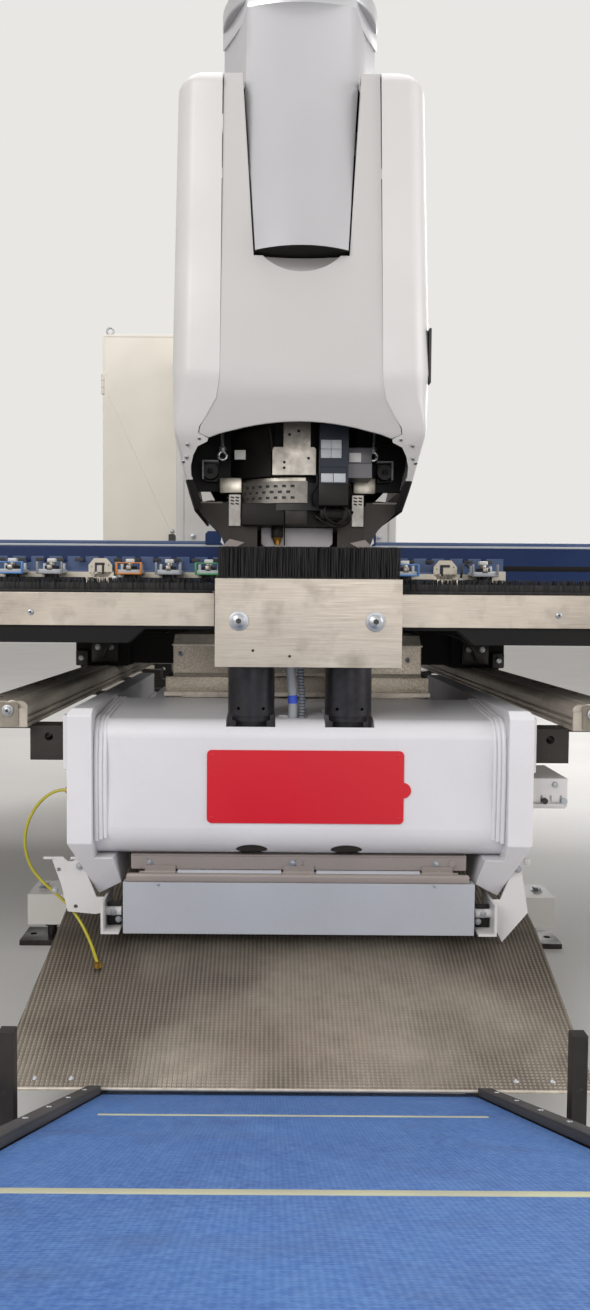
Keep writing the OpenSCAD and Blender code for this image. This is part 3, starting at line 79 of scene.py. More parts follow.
class Finish:
    """One surface finish: a shader, and the patterns laid over it in object space."""

    def __init__(self, name, **constants):
        self.material = bpy.data.materials.new(name)
        self.material.use_nodes = True
        self.tree = self.material.node_tree
        self.tree.nodes.clear()
        self.shader = add(self.tree, "BsdfPrincipled", constants)
        add(self.tree, "OutputMaterial", {"Surface": self.shader.outputs[0]})
        self.place = add(self.tree, "TexCoord").outputs["Object"]
        self.heights = []

    def stretched(self, x, y, z):
        """Object space with the pattern stretched along the axes with small numbers."""
        return add(self.tree, "Mapping", {"Vector": self.place, "Scale": (x, y, z)}).outputs[0]

    def noise(self, size_mm, detail=3, place=None, contrast=(0.3, 0.7)):
        """Noise of that grain size, as a share from 0 to 1."""
        raw = add(self.tree, "TexNoise", {"Vector": place or self.place, "Scale": 1000 / size_mm,
                                         "Detail": detail})
        return self.spread(raw.outputs[0], *contrast)

    def spread(self, share, low, high):
        """A share stretched so that low becomes 0 and high becomes 1."""
        return add(self.tree, "MapRange", {0: share, 1: low, 2: high}).outputs[0]

    def between(self, share, low, high):
        """A share laid between two values."""
        return add(self.tree, "MapRange", {0: share, 3: low, 4: high}).outputs[0]

    def mixed(self, share, low, high):
        """Two colours blended by a share."""
        low = srgb(low) if isinstance(low, str) else low
        high = srgb(high) if isinstance(high, str) else high
        return add(self.tree, "Mix", {0: share, 6: low, 7: high}, data_type="RGBA").outputs[2]

    def times(self, a, b, kind="MULTIPLY"):
        return add(self.tree, "Math", {0: a, 1: b}, operation=kind).outputs[0]

    def waves(self, pitch_mm, axis):
        """Even waves of that pitch across one axis, from 0 to 1."""
        return add(self.tree, "TexWave", {"Vector": self.place, "Scale": math.pi * 100 / pitch_mm,
                                         "Distortion": 0}, bands_direction=axis).outputs[1]

    def relief(self, height, depth_mm, strength=1.0):
        """Keeps a height pattern, for the bumps that done lays over each other."""
        self.heights.append((height, depth_mm, strength))

    def done(self, colour, rough=None):
        """Links the patterns to the shader and returns the material."""
        self.tree.links.new(colour, self.shader.inputs["Base Color"])
        if rough is not None:
            self.tree.links.new(rough, self.shader.inputs["Roughness"])
        normal = None
        for height, depth_mm, strength in self.heights:
            inputs = {"Height": height, "Distance": depth_mm / 1000, "Strength": strength}
            if normal:
                inputs["Normal"] = normal
            normal = add(self.tree, "Bump", inputs).outputs[0]
        if normal:
            self.tree.links.new(normal, self.shader.inputs["Normal"])
        return self.material


def powder_coat(name, colour, soil="#8d8880", soiled=0.10, rough=(0.34, 0.46), **constants):
    """Powder coated sheet steel: a satin skin, faint orange peel and a little workshop dust."""
    f = Finish(name, IOR=1.5, **constants)
    cloud = f.noise(170, 6, contrast=(0.35, 0.8))
    specks = f.noise(9, 5, contrast=(0.62, 0.8))
    share = f.times(f.times(cloud, soiled), f.times(specks, soiled * 0.7), "ADD")
    # real orange peel is 1 to 2 mm wide and would not show, so it is drawn at 4 mm
    f.relief(f.noise(4, 1), 0.12, 0.25)
    return f.done(f.mixed(share, colour, soil), f.between(cloud, *rough))


def brushed_steel(name, colour, dark, rough, along=(1, 40, 40), metallic=1):
    """Stainless sheet brushed along one axis: fine streaks, soft finger marks and darker smears."""
    f = Finish(name, Metallic=metallic)
    streaks = f.noise(60, 4, f.stretched(*along), (0.3, 0.75))
    smears = f.noise(130, 5, contrast=(0.35, 0.75))
    stains = f.noise(48, 6, contrast=(0.52, 0.8))
    tone = f.mixed(f.times(streaks, 0.55), colour, dark)
    tone = f.mixed(f.times(smears, 0.25), tone, "#f0e8d8")
    tone = f.mixed(f.times(stains, 0.5), tone, "#655d54")
    f.relief(streaks, 0.05, 0.3)
    return f.done(tone, f.between(f.times(streaks, smears, "ADD"), *rough))


def machined_steel(name, colour, dark, rough=(0.3, 0.5), metallic=1):
    """Ground or turned steel under a thin film of oil, blotched where it is handled."""
    f = Finish(name, Metallic=metallic)
    blotch = f.noise(60, 6)
    grain = f.noise(12, 4)
    f.relief(grain, 0.06, 0.3)
    return f.done(f.mixed(f.times(f.times(blotch, grain, "ADD"), 0.5), colour, dark),
                  f.between(blotch, *rough))


def moulded(name, colour, rough=0.4, shift=0.12):
    """Moulded plastic or rubber with a fine even grain."""
    f = Finish(name, Roughness=rough, IOR=1.46)
    cloud = f.noise(90, 4)
    f.relief(f.noise(5, 2), 0.08, 0.3)
    return f.done(f.mixed(f.times(cloud, shift), colour, "#9a958e"))


def bristle():
    """Black nylon bristle: dark, with lighter glints along each clump."""
    f = Finish("black_nylon_bristle", Roughness=0.62, IOR=1.4)
    tufts = f.noise(9, 2, f.stretched(1, 1, 0.1), (0.4, 0.66))
    return f.done(f.mixed(tufts, "#060506", "#1f1c1b"))


def ribbed(name, colour):
    """Corrugated cable conduit: even ribs, painted darker between them as the shade in the grooves.
    """
    f = Finish(name, Roughness=0.5, IOR=1.46)
    # the ribs are 3 mm apart on the real conduit and are drawn at 6 mm so that they show
    ribs = f.waves(6, "Z")
    f.relief(ribs, 1.6, 0.9)
    # the grooves between the ribs are painted dark: painted shade
    return f.done(f.mixed(ribs, "#4c4f53", colour))


def pearled_steel():
    """Pearled stainless sheet: rolled with fine grains that glitter at random."""
    f = Finish("pearled_stainless_sheet", Metallic=1)
    pearls = add(f.tree, "TexVoronoi", {"Vector": f.place, "Scale": 1000 / 4}).outputs[0]
    pearls = f.spread(pearls, 0.6, 0.1)
    cloud = f.noise(70, 4)
    f.relief(pearls, 0.35, 0.6)
    return f.done(f.mixed(pearls, f.mixed(cloud, "#80776b", "#9b9285"), "#aca394"),
                  f.between(cloud, 0.34, 0.5))


def chute_sheet():
    """Embossed stainless sheet: rows of small bumps that let flat parts slide, dull with wear, with
    painted highlights on the bumps and large painted patches of light and shade.
    """
    f = Finish("embossed_stainless_sheet", Metallic=0.8)
    # bumps 8 mm apart across the chute and 6 mm down it, which run together into columns
    bumps = f.times(f.waves(8, "X"), f.between(f.waves(6, "Y"), 0.55, 1))
    bumps = f.spread(bumps, 0.2, 0.9)
    rust = f.noise(45, 6, contrast=(0.4, 0.8))
    # large patches painted lighter and darker: painted light and shadow falling on the chute
    cloud = f.noise(260, 4, contrast=(0.4, 0.62))
    f.relief(bumps, 1.4, 0.9)
    tone = f.mixed(f.times(rust, 0.5), f.mixed(cloud, "#6f665c", "#a2998b"), "#564d44")
    # the tops of the bumps are painted lighter: painted highlights
    return f.done(f.mixed(f.times(bumps, 0.28), tone, "#d6cfc2"), f.between(rust, 0.4, 0.62))


def belt_cloth():
    """Blue polyurethane belt with a pressed fabric print, scuffed lighter where parts land."""
    f = Finish("blue_fabric_print_belt", IOR=1.48)
    # the print's real pitch is 1.5 mm, drawn at 5 mm so that it shows
    weave = f.times(f.waves(5, "X"), f.waves(5, "Y"))
    scuffs = f.noise(28, 7, f.stretched(1, 0.45, 0.45), (0.45, 0.75))
    fibres = f.noise(7, 5, contrast=(0.36, 0.64))
    stains = f.noise(110, 6, contrast=(0.56, 0.8))
    cloud = f.noise(320, 5, contrast=(0.3, 0.75))
    f.relief(weave, 0.7, 0.8)
    f.relief(fibres, 0.4, 0.5)
    tone = f.mixed(cloud, "#2a5596", "#3767a9")
    tone = f.mixed(f.times(fibres, 0.5), tone, "#5b86bf")
    tone = f.mixed(f.times(scuffs, 0.16), tone, "#8099bd")
    tone = f.mixed(f.times(stains, 0.4), tone, "#3d4a70")
    return f.done(f.mixed(f.times(weave, 0.3), tone, "#1c3d70"), f.between(scuffs, 0.6, 0.85))


# paints in the shade of the machine hardly shine
DULL = {"Specular IOR Level": 0.2}
WHITE = powder_coat("white_powder_coat", "#c9c6c5")
FAIRING = powder_coat("grey_white_powder_coat", "#b8b5b4", soiled=0.07)
HOOD = powder_coat("silver_grey_powder_coat", "#b4b3b6", soiled=0.04, rough=(0.3, 0.38),
                   Metallic=0.4)
BAND = powder_coat("silver_band", "#c6c6c9", soiled=0.04, rough=(0.3, 0.36), Metallic=0.5)
ARM = powder_coat("arm_white_powder_coat", "#d6d4d7", soil="#8a8178", soiled=0.12)
COLUMN = powder_coat("column_white_powder_coat", "#cfccc7", soiled=0.12)
CREAM = powder_coat("cabinet_cream_powder_coat", "#e3dccf", soiled=0.08)
FLAP = powder_coat("flap_grey_powder_coat", "#abadb4", soil="#7e7a76", soiled=0.22)
STRIP = powder_coat("strip_grey_enamel", "#8f8580", soil="#5e5853", soiled=0.25)
STRIPPER = powder_coat("ram_grey_lacquer", "#b3aeb2", soil="#857d7c", soiled=0.14)
GREY_BLUE = powder_coat("grey_module_enamel", "#5b585f", soiled=0.2)
MOTOR = powder_coat("motor_grey_enamel", "#54585e", soiled=0.2)
BEIGE = powder_coat("beige_clamp_enamel", "#d8cfbe", soiled=0.12)
BRACKET = powder_coat("bracket_dark_enamel", "#2d2a28", soil="#575049", soiled=0.3, **DULL)
CONVEYOR_DARK = powder_coat("conveyor_black_enamel", "#232122", soil="#6c665f", soiled=0.3, **DULL)
CONVEYOR_EDGE = powder_coat("conveyor_guide_strip", "#2b2a2c", soil="#5f5a55", soiled=0.25,
                            rough=(0.6, 0.75))
SKIRT = powder_coat("skirt_grey_powder_coat", "#2c2622", soil="#5d554d", soiled=0.3, **DULL)
NAVY = powder_coat("navy_powder_coat", "#162b57", soil="#4d6690", soiled=0.1, **DULL)
RAIL_BLUE = powder_coat("rail_blue_anodising", "#46587c", soil="#8b94a8", soiled=0.3, **DULL)
BLACK = powder_coat("black_enamel", "#181616", soil="#3b3734", soiled=0.3, rough=(0.45, 0.6),
                    **DULL)
DARK_BLUE = powder_coat("dark_blue_enamel", "#1e2531", soil="#4d525c", soiled=0.2, **DULL)
# near black, darker than the tables' own black paint: painted shade under the tables, on the hood's
# underside and in the beam's slot
BLACK_UNDERSIDE_AND_SHADE = powder_coat("underside_black_enamel_and_painted_shade", "#121111", soil="#3a3632", soiled=0.2,
                        rough=(0.7, 0.85), **DULL)
RED = powder_coat("red_enamel_plate", "#c80f1e", soil="#8f141c", soiled=0.1, rough=(0.32, 0.42))
STAINLESS = brushed_steel("brushed_stainless_sheet", "#aaa197", "#857b70", (0.3, 0.46))
GROUND = machined_steel("ground_steel", "#a8a39c", "#77716a")
RING = machined_steel("turned_steel", "#bcb6ab", "#8b847a", rough=(0.3, 0.44))
OILED = machined_steel("oiled_dark_steel", "#4a4643", "#2a2726", rough=(0.3, 0.55), metallic=0.8)
RAILS = brushed_steel("rail_steel", "#b3a99c", "#7a7268", (0.36, 0.5), (40, 1, 40), 0.3)
RAIL_HIGHLIGHT = brushed_steel("running_edge_painted_highlight", "#dcd5c9", "#a59d91", (0.3, 0.44), (40, 1, 40),
                            0.5)
CAP_PLATE = brushed_steel("worn_cap_plate", "#736a5e", "#4c453c", (0.4, 0.55), (30, 30, 1), 0.4)
BEVEL = machined_steel("bright_steel_and_painted_highlight", "#cdc4b6", "#a0968a", rough=(0.35, 0.5), metallic=0.3)
GUARD = machined_steel("guard_sheet_steel", "#8e8983", "#68635d", rough=(0.4, 0.55), metallic=0.6)
SILVER = machined_steel("silver_sheet", "#b5b0aa", "#8d8882", rough=(0.35, 0.5), metallic=0.6)
CHROME = machined_steel("chromed_steel", "#d3d4d5", "#a9abad", rough=(0.12, 0.22))
SCREW = machined_steel("zinc_plated_steel", "#b4b6b9", "#8c8e92", rough=(0.34, 0.46), metallic=0.8)
BRASS = machined_steel("brass", "#c29a4e", "#8f6c30", rough=(0.3, 0.44))
OXIDE = machined_steel("black_oxide_steel", "#323035", "#1a181b", rough=(0.3, 0.44), metallic=0.5)
PEARL = pearled_steel()
CHUTE = chute_sheet()
BELT = belt_cloth()
BRISTLE = bristle()
RUBBER = moulded("black_rubber", "#1c1b1c", rough=0.6)
CONDUIT = moulded("grey_polyamide", "#9ea2a6", rough=0.5)
RIBBED = ribbed("ribbed_grey_conduit", "#8b9096")
HOSE = moulded("yellow_green_polyurethane", "#aa9f22", rough=0.32, shift=0.05)
TAPE = moulded("blue_tape", "#2c51c8", rough=0.5)
LABEL = moulded("white_plastic_label", "#d9d9d6")
ORANGE = moulded("orange_plastic", "#d98430")
GREEN = moulded("green_plastic", "#3f9a5c")
PALE_BLUE = moulded("light_blue_plastic", "#4f86c9")
GREY = moulded("grey_plastic", "#8e9095", rough=0.42)
GREY_PANEL = moulded("light_grey_panel", "#b9bdc2")
SPLICE = moulded("cream_splice_strip", "#bcbd9d", rough=0.55, shift=0.6)


# Shapes

# directions in which screws look
FRONT = (0, -1, 0)
UP = (0, 0, 1)


def piece(name, mesh, materials, body, stands_for=(), crease=35):
    """Turns a bmesh in millimetres into a piece that rides on a CAD body."""
    for face in mesh.faces:
        face.smooth = True
    limit = math.radians(crease)
    for edge in mesh.edges:
        edge.smooth = len(edge.link_faces) == 2 and edge.calc_face_angle(0) < limit
    mesh.transform(TO_ROW)
    data = bpy.data.meshes.new(name)
    mesh.to_mesh(data)
    mesh.free()
    for material in materials if isinstance(materials, (list, tuple)) else [materials]:
        data.materials.append(material)
    thing = bpy.data.objects.new(name, data)
    bpy.context.scene.collection.objects.link(thing)
    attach(thing, body)
    if stands_for:
        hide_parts(*stands_for)
    return thing


def flat(thing):
    """Keeps the shading of large flat faces flat beside their rounded edges."""
    thing.modifiers.new("flat_faces", "WEIGHTED_NORMAL").keep_sharp = True
    return thing


def node_mesh(node):
    """A CAD node's surface as a joined mesh in millimetres, its flat faces whole again."""
    mesh = bmesh.new()
    mesh.from_mesh(frame["nodes"][node].data)
    mesh.transform(TO_ROW.inverted())
    bmesh.ops.remove_doubles(mesh, verts=mesh.verts, dist=0.02)
    bmesh.ops.dissolve_limit(mesh, angle_limit=math.radians(0.6), verts=mesh.verts,
                             edges=mesh.edges)
    return mesh


def round_off(mesh, edges, width, segments=2, clamp=False):
    """Rounds edges to a radius."""
    bmesh.ops.bevel(mesh, geom=list(edges), offset=width, offset_type="OFFSET", segments=segments,
                    profile=0.5, affect="EDGES", clamp_overlap=clamp, material=-1)


def soften(mesh, width, segments=2):
    """Rounds the outer edges of a mesh."""
    sharp = math.radians(32)
    round_off(mesh, [e for e in mesh.edges if len(e.link_faces) == 2
                     and e.calc_face_angle_signed(0) > sharp], width, segments, clamp=True)


def finished(node, mesh, materials, width, segments=2):
    """A CAD node's mesh with rounded edges, as the piece that stands for the node."""
    soften(mesh, width, segments)
    flat(piece(node + "_finished", mesh, materials, BODY_OF[node], [node]))


def softened(node, materials, width=1.5, segments=2, paint=None):
    """A CAD node again, painted face by face where it has several finishes."""
    mesh = node_mesh(node)
    if paint:
        for face in mesh.faces:
            face.material_index = paint(face)
    finished(node, mesh, materials, width, segments)


def painted(verts, mat):
    """Gives the faces at some vertices a material number, and returns them."""
    faces = {f for v in verts for f in v.link_faces}
    for face in faces:
        face.material_index = mat
    return faces


def cuboid(mesh, x0, x1, y0, y1, z0, z1, mat, turn=None):
    """A sharp block, its ends in X in either order; returns its size and its edges."""
    x0, x1 = sorted((x0, x1))
    size = Vector((x1 - x0, y1 - y0, z1 - z0))
    middle = Vector((x0 + x1, y0 + y1, z0 + z1)) / 2
    place = Matrix.Translation(middle) @ (turn or Matrix()) @ Matrix.Diagonal((*size, 1))
    verts = bmesh.ops.create_cube(mesh, size=1, matrix=place)["verts"]
    painted(verts, mat)
    return size, {e for v in verts for e in v.link_edges}


def block(mesh, x0, x1, y0, y1, z0, z1, edge=1.0, mat=0, turn=None, segments=2):
    """A block with rounded edges."""
    size, edges = cuboid(mesh, x0, x1, y0, y1, z0, z1, mat, turn)
    if edge:
        round_off(mesh, edges, min(edge, min(size) * 0.45), segments)


def plate(mesh, x0, x1, y0, y1, z0, z1, corner, axis, mat=0):
    """A flat plate with round corners, seen along one axis."""
    size, edges = cuboid(mesh, x0, x1, y0, y1, z0, z1, mat)
    n = "XYZ".index(axis)
    round_off(mesh, [e for e in edges
                     if abs((e.verts[0].co - e.verts[1].co)[n]) > size[n] * 0.9], corner, 6)


def rod(mesh, start, end, r0, r1=None, sides=24, mat=0, edge=0.0):
    """A round bar or cone between two points."""
    start, end = Vector(start), Vector(end)
    axis = end - start
    turn = axis.to_track_quat("Z", "Y").to_matrix().to_4x4()
    place = Matrix.Translation((start + end) / 2) @ turn
    made = bmesh.ops.create_cone(mesh, cap_ends=True, segments=sides, radius1=r0,
                                 radius2=r0 if r1 is None else r1, depth=axis.length, matrix=place)
    faces = painted(made["verts"], mat)
    if edge:
        round_off(mesh, {e for f in faces if len(f.verts) > 4 for e in f.edges}, edge)


def smooth_line(name, route, radius, rings, steps):
    """A round curve that runs smoothly through a few points."""
    line = bpy.data.curves.new(name, "CURVE")
    line.dimensions = "3D"
    line.bevel_depth = radius
    line.bevel_resolution = rings
    line.use_fill_caps = True
    line.resolution_u = steps
    spline = line.splines.new("BEZIER")
    spline.bezier_points.add(len(route) - 1)
    for point, spot in zip(spline.bezier_points, route):
        point.co = spot
        point.handle_left_type = point.handle_right_type = "AUTO"
    return bpy.data.objects.new(name, line)


def tube(mesh, route, radius, mat=0, sides=14):
    """A round tube that runs smoothly through a few points."""
    thing = smooth_line("tube_line", route, radius, sides // 2 - 2, 6)
    line = thing.data
    data = bpy.data.meshes.new_from_object(thing)
    for face in data.polygons:
        face.material_index = mat
    # from_mesh leaves the material numbers as they are in the data
    mesh.from_mesh(data)
    bpy.data.objects.remove(thing)
    bpy.data.curves.remove(line)
    bpy.data.meshes.remove(data)


def prism(mesh, corners, reach, mat=0, edge=0.0):
    """A flat outline carried along a vector."""
    face = mesh.faces.new([mesh.verts.new(c) for c in corners])
    made = bmesh.ops.extrude_face_region(mesh, geom=[face])
    moved = [v for v in made["geom"] if isinstance(v, bmesh.types.BMVert)]
    bmesh.ops.translate(mesh, verts=moved, vec=Vector(reach))
    faces = painted([*moved, *face.verts], mat)
    bmesh.ops.recalc_face_normals(mesh, faces=list(faces))
    if edge:
        round_off(mesh, {e for f in faces for e in f.edges}, edge, clamp=True)


def button_screw(mesh, at, out, radius, mat=0, washer=0.0):
    """A button head screw with a hexagon socket, and a washer where it has one."""
    at, out = Vector(at), Vector(out).normalized()
    base = at
    if washer:
        rod(mesh, at, at + out * 2.5, washer, sides=32, mat=mat, edge=0.5)
        base = at + out * 2.5
    height = radius * 0.55
    rod(mesh, base, base + out * height * 0.5, radius, radius * 0.96, 28, mat)
    rod(mesh, base + out * height * 0.5, base + out * height, radius * 0.95, radius * 0.55, 28, mat)
    rod(mesh, base + out * height * 0.4, base + out * (height + 0.15), radius * 0.42, sides=6,
        mat=mat + 1)


def bolt(mesh, at, out, radius, mat=0):
    """A hexagon head with a thin washer."""
    at, out = Vector(at), Vector(out).normalized()
    rod(mesh, at, at + out * radius * 0.2, radius * 1.25, mat=mat)
    rod(mesh, at + out * radius * 0.2, at + out * radius * 0.9, radius, sides=6, mat=mat,
        edge=radius * 0.08)


def carried(*nodes, material):
    """CAD nodes shown as they are, in one finish."""
    for node in nodes:
        data = frame["nodes"][node].data
        data.materials.clear()
        data.materials.append(material)


def along(table, z):
    """Values from a table of heights, straight between its rows."""
    for low, high in zip(table, table[1:]):
        if low[0] <= z <= high[0]:
            t = (z - low[0]) / (high[0] - low[0])
            return [a + (b - a) * t for a, b in zip(low[1:], high[1:])]
    return list(table[-1][1:] if z > table[-1][0] else table[0][1:])


# Side shells of the head
# height, front face, outer side, front corner, seam
SHELL_ROWS = [(1105, -215, 227, 225, 207.5), (1138, -230.7, 236.7, 234.7, 215),
              (1164, -245, 243.3, 241.5, 225), (1165, -245.5, 243.6, 241.8, 225.5),
              (1171, -249, 244.8, 243, 228), (1190, -260, 248.8, 247, 228),
              (1211, -272, 253, 251, 222), (1228, -282, 256.6, 255, 212),
              (1237, -288, 258.5, 257, 191.5), (1242, -291, 259.6, 258, 190),
              (1247, -293.5, 260.7, 259.3, 198), (1252, -296.5, 261.7, 260.4, 210),
              (1264, -302, 263, 260, 208), (1287, -311, 263, 255, 192),
              (1320, -322, 263, 242, 172), (1352, -333, 263, 234, 166),
              (1375, -340, 263, 230, 164), (1607, -294.5, 263, 230, 165),
              (1990, -219, 263, 230, 167)]
SHELL_TOP_Z = 2028
SHELL_ROUND = 38
ROUND_STEPS = 8
SHELL_SIDE_X, SHELL_CORNER_X, SHELL_SEAM_X = 263, 230, 167
HEAD_REAR_Y = 250
SHELL_WALL = 6


def shell_loop(z, front, side, corner, seam):
    """One level of a shell: seam, soft front corner, side and rear edge."""
    turn = [Vector((corner - 8, front, z)), Vector((corner + (side - corner) * 0.62, front + 4, z)),
            Vector((side, front + 46, z))]
    points = [Vector((seam, front, z))]
    for i in range(9):
        t = i / 8
        points.append(turn[0] * (1 - t) ** 2 + turn[1] * 2 * t * (1 - t) + turn[2] * t * t)
    points.append(Vector((side, HEAD_REAR_Y, z)))
    return points


def side_shell(sign):
    """A side shell skinned level by level, its top edge rounded over, with its screws, and dark
    strips of painted shade for its slots.
    """
    mesh = bmesh.new()
    levels = list(SHELL_ROWS)
    for i in range(1, ROUND_STEPS + 1):
        a = math.radians(90 * i / ROUND_STEPS)
        shrink = SHELL_ROUND * (1 - math.cos(a))
        levels.append((SHELL_TOP_Z - SHELL_ROUND * (1 - math.sin(a)),
                       -222 + 6 * i / ROUND_STEPS + shrink * 0.8, SHELL_SIDE_X - shrink,
                       SHELL_CORNER_X - shrink * 0.7, SHELL_SEAM_X))
    loops = [[mesh.verts.new((sign * p.x, p.y, p.z)) for p in shell_loop(*level)]
             for level in levels]
    for n, (low, high) in enumerate(zip(loops, loops[1:])):
        for i in range(len(low) - 1):
            face = mesh.faces.new((low[i], low[i + 1], high[i + 1], high[i]))
            # the lowest two rows round the mouth are painted black
            face.material_index = 1 if n < 2 else 0
    rim = [mesh.verts.new((sign * x, y, SHELL_TOP_Z))
           for x, y in ((181, HEAD_REAR_Y), (181, -18), (168, -48))]
    mesh.faces.new(loops[-1] + rim)
    bmesh.ops.recalc_face_normals(mesh, faces=mesh.faces)
    if max(mesh.faces, key=lambda f: f.calc_center_median().z).normal.z < 0:
        bmesh.ops.reverse_faces(mesh, faces=mesh.faces)
    bmesh.ops.solidify(mesh, geom=list(mesh.faces), thickness=SHELL_WALL)
    side = "right" if sign > 0 else "left"
    piece("side_shell_skin_" + side, mesh, [WHITE, BLACK], "machine_frame", ["side_shell_" + side],
          crease=50)
    trim = bmesh.new()
    for x, y, z in ((208, -291, 1243), (233, -286, 1231), (236, -271, 1207), (243, -264, 1199)):
        button_screw(trim, (sign * x, y, z), (0, -1, -0.45), 4)
    if sign > 0:
        # a cable channel runs up the right shell only
        prism(trim, [(262, -300, 1357), (262, -262, 1357), (262, -262, 1468), (262, -300, 1468)],
              (5, 0, 0), 1, 1.5)
    for y in (-120, 30, 180):
        for z in (1180, 1960):
            x = SHELL_SIDE_X if z > 1258 else 246.5
            button_screw(trim, (sign * x, y, z), (sign, 0, 0), 5)
    # seven dark strips on each side stand for slots: painted shade inside them
    for i in range(7):
        block(trim, sign * 262.4, sign * 263.8, 60, 200, 1500 + 18 * i, 1505 + 18 * i, 0.5, 1)
    piece("shell_screws_" + side, trim, [SCREW, RUBBER], "machine_frame")


side_shell(1)
side_shell(-1)
# the hood's foot and the cut-out below it, raised along the leaning front, and the hood's length
HOOD_RAISE = Vector((0, 5.8, 28))
HOOD_SEAM_Z = 2005
HOOD_LENGTH = 412
FAIRING_TOP_RAISE = Vector((0, -26, 18))
# height, how far the fairing's seam is moved outwards
SEAM_SHIFTS = [(1240, 0), (1252, 4), (1264, 7), (1287, 1), (1320, -4), (1352, -3), (1375, -1)]


def fairing():
    """The front cover: seams bent like the shells', its top and the foot of its cut-out raised."""
    mesh = node_mesh("fairing")
    for v in mesh.verts:
        x, z = abs(v.co.x), v.co.z
        if z > 1990:
            v.co += FAIRING_TOP_RAISE
        elif x < 100 and 1545 < z < 1600:
            v.co += HOOD_RAISE
        elif x > 150 and z < 1400:
            v.co.x += math.copysign(along(SEAM_SHIFTS, z)[0], v.co.x)
    finished("fairing", mesh, FAIRING, 1.5)


fairing()


def fairing_front(z):
    """Front face of the fairing at a height."""
    return along([(1375, -339), (1970, -216)], z)[0]


def face_front(mesh, faces):
    """Turns the faces of an open sheet to the front."""
    bmesh.ops.recalc_face_normals(mesh, faces=faces)
    if sum(f.normal.y for f in faces) > 0:
        bmesh.ops.reverse_faces(mesh, faces=faces)


def hood_scoop():
    """The dished recess under the hood's foot."""
    mesh = bmesh.new()
    bmesh.ops.create_grid(mesh, x_segments=16, y_segments=8, size=1)
    for v in mesh.verts:
        u, t = v.co.x, (v.co.y + 1) / 2
        half = 84 * math.sqrt(max(0.0, 1 - ((1 - t) * 0.98) ** 2.4))
        z = 1590 + HOOD_RAISE.z - 38 * (1 - t) * (1 - 0.05 * u * u)
        depth = 26 * math.sin(t * math.pi / 2) * (1 - u * u * 0.4)
        v.co = (u * half, fairing_front(z) + 1 + depth, z)
    face_front(mesh, mesh.faces)
    bmesh.ops.solidify(mesh, geom=list(mesh.faces), thickness=2)
    piece("hood_scoop", mesh, FAIRING, "machine_frame")


def drive_hood():
    """The drive's hood, open at its raised foot, below the silver ring that it reaches up to."""
    mesh = node_mesh("drive_hood")
    for v in mesh.verts:
        v.co += HOOD_RAISE * max(0, (HOOD_SEAM_Z - v.co.z) / HOOD_LENGTH)
    # the faces that look down are painted black: painted shade under the hood
    for face in mesh.faces:
        face.material_index = 1 if face.normal.z < -0.7 else 0
    soften(mesh, 1.2, 1)
    piece("drive_hood_finished", mesh, [HOOD, BLACK_UNDERSIDE_AND_SHADE], "machine_frame", ["drive_hood"],
          crease=28)
    # a silver band with a crowned front runs round the hood's top
    mesh = bmesh.new()
    front = [(119 * i / 12, -136 + 20 * (i / 12) ** 2) for i in range(-12, 13)]
    outline = [(-179, 20), (-153, -36)] + front + [(153, -36), (179, 20)]
    prism(mesh, [(x, y, 2187) for x, y in outline], (0, 0, 51), 0, 1.5)
    piece("drive_ring_band", mesh, BAND, "machine_frame", crease=28)


hood_scoop()
drive_hood()
softened("drive_housing", HOOD, 1.0, 1)
softened("head_body", BLACK, 2.0)
softened("clamp_ring", RING, 1.0)


GUARD_FOOT_Z = 1078
GUARD_WIDER, GUARD_DEEPER, GUARD_TALLER = 1.085, 1.09, 1.41
GUARD_SHADE_R = 153.8
GUARD_END_Y = -126


def ring_guard():
    """The slotted guard, drawn up over the ring's lower half, and a dark band behind it that paints
    the shade seen through the guard.
    """
    mesh = node_mesh("ring_guard")
    for v in mesh.verts:
        v.co = Vector((v.co.x * GUARD_WIDER, v.co.y * GUARD_DEEPER,
                       GUARD_FOOT_Z + (v.co.z - GUARD_FOOT_Z) * GUARD_TALLER))
    for face in mesh.faces:
        face.material_index = 1 if abs(face.calc_center_median().x) > 133 else 0
    shade_band = bmesh.ops.create_cone(mesh, segments=96, radius1=GUARD_SHADE_R,
                                   radius2=GUARD_SHADE_R, depth=60,
                                   matrix=Matrix.Translation((0, 0, 1140)))["verts"]
    behind = [f for f in painted(shade_band, 2) if f.calc_center_median().y > -90]
    bmesh.ops.delete(mesh, geom=behind, context="FACES")
    # bright end plates, each with two columns of three slanted slots drawn as dark strips: painted
    # shade in the slots
    for x in (-154, 121):
        block(mesh, x, x + 27, GUARD_END_Y, GUARD_END_Y + 34, 1076, 1147, 1.5, 1)
        for left in (x + 4, x + 15):
            for z in (1124, 1131, 1138):
                block(mesh, left, left + 8, GUARD_END_Y - 0.6, GUARD_END_Y + 1, z, z + 3.5,
                      0.5, 2, Matrix.Rotation(0.25, 4, "Y"))
    flat(piece("ring_guard_finished", mesh, [GUARD, SILVER, RUBBER], "machine_frame",
               ["ring_guard"]))


ring_guard()
softened("centre_mount", GROUND, 1.5)
softened("head_modules", [DARK_BLUE, BLACK, GREY_BLUE], 1.5, paint=lambda f: (
    2 if f.calc_center_median().x > 107.2 else 1 if f.calc_center_median().x < 0 else 0))
softened("guide_rollers", RUBBER, 1.5)
carried("lifting_eyes", material=CHROME)


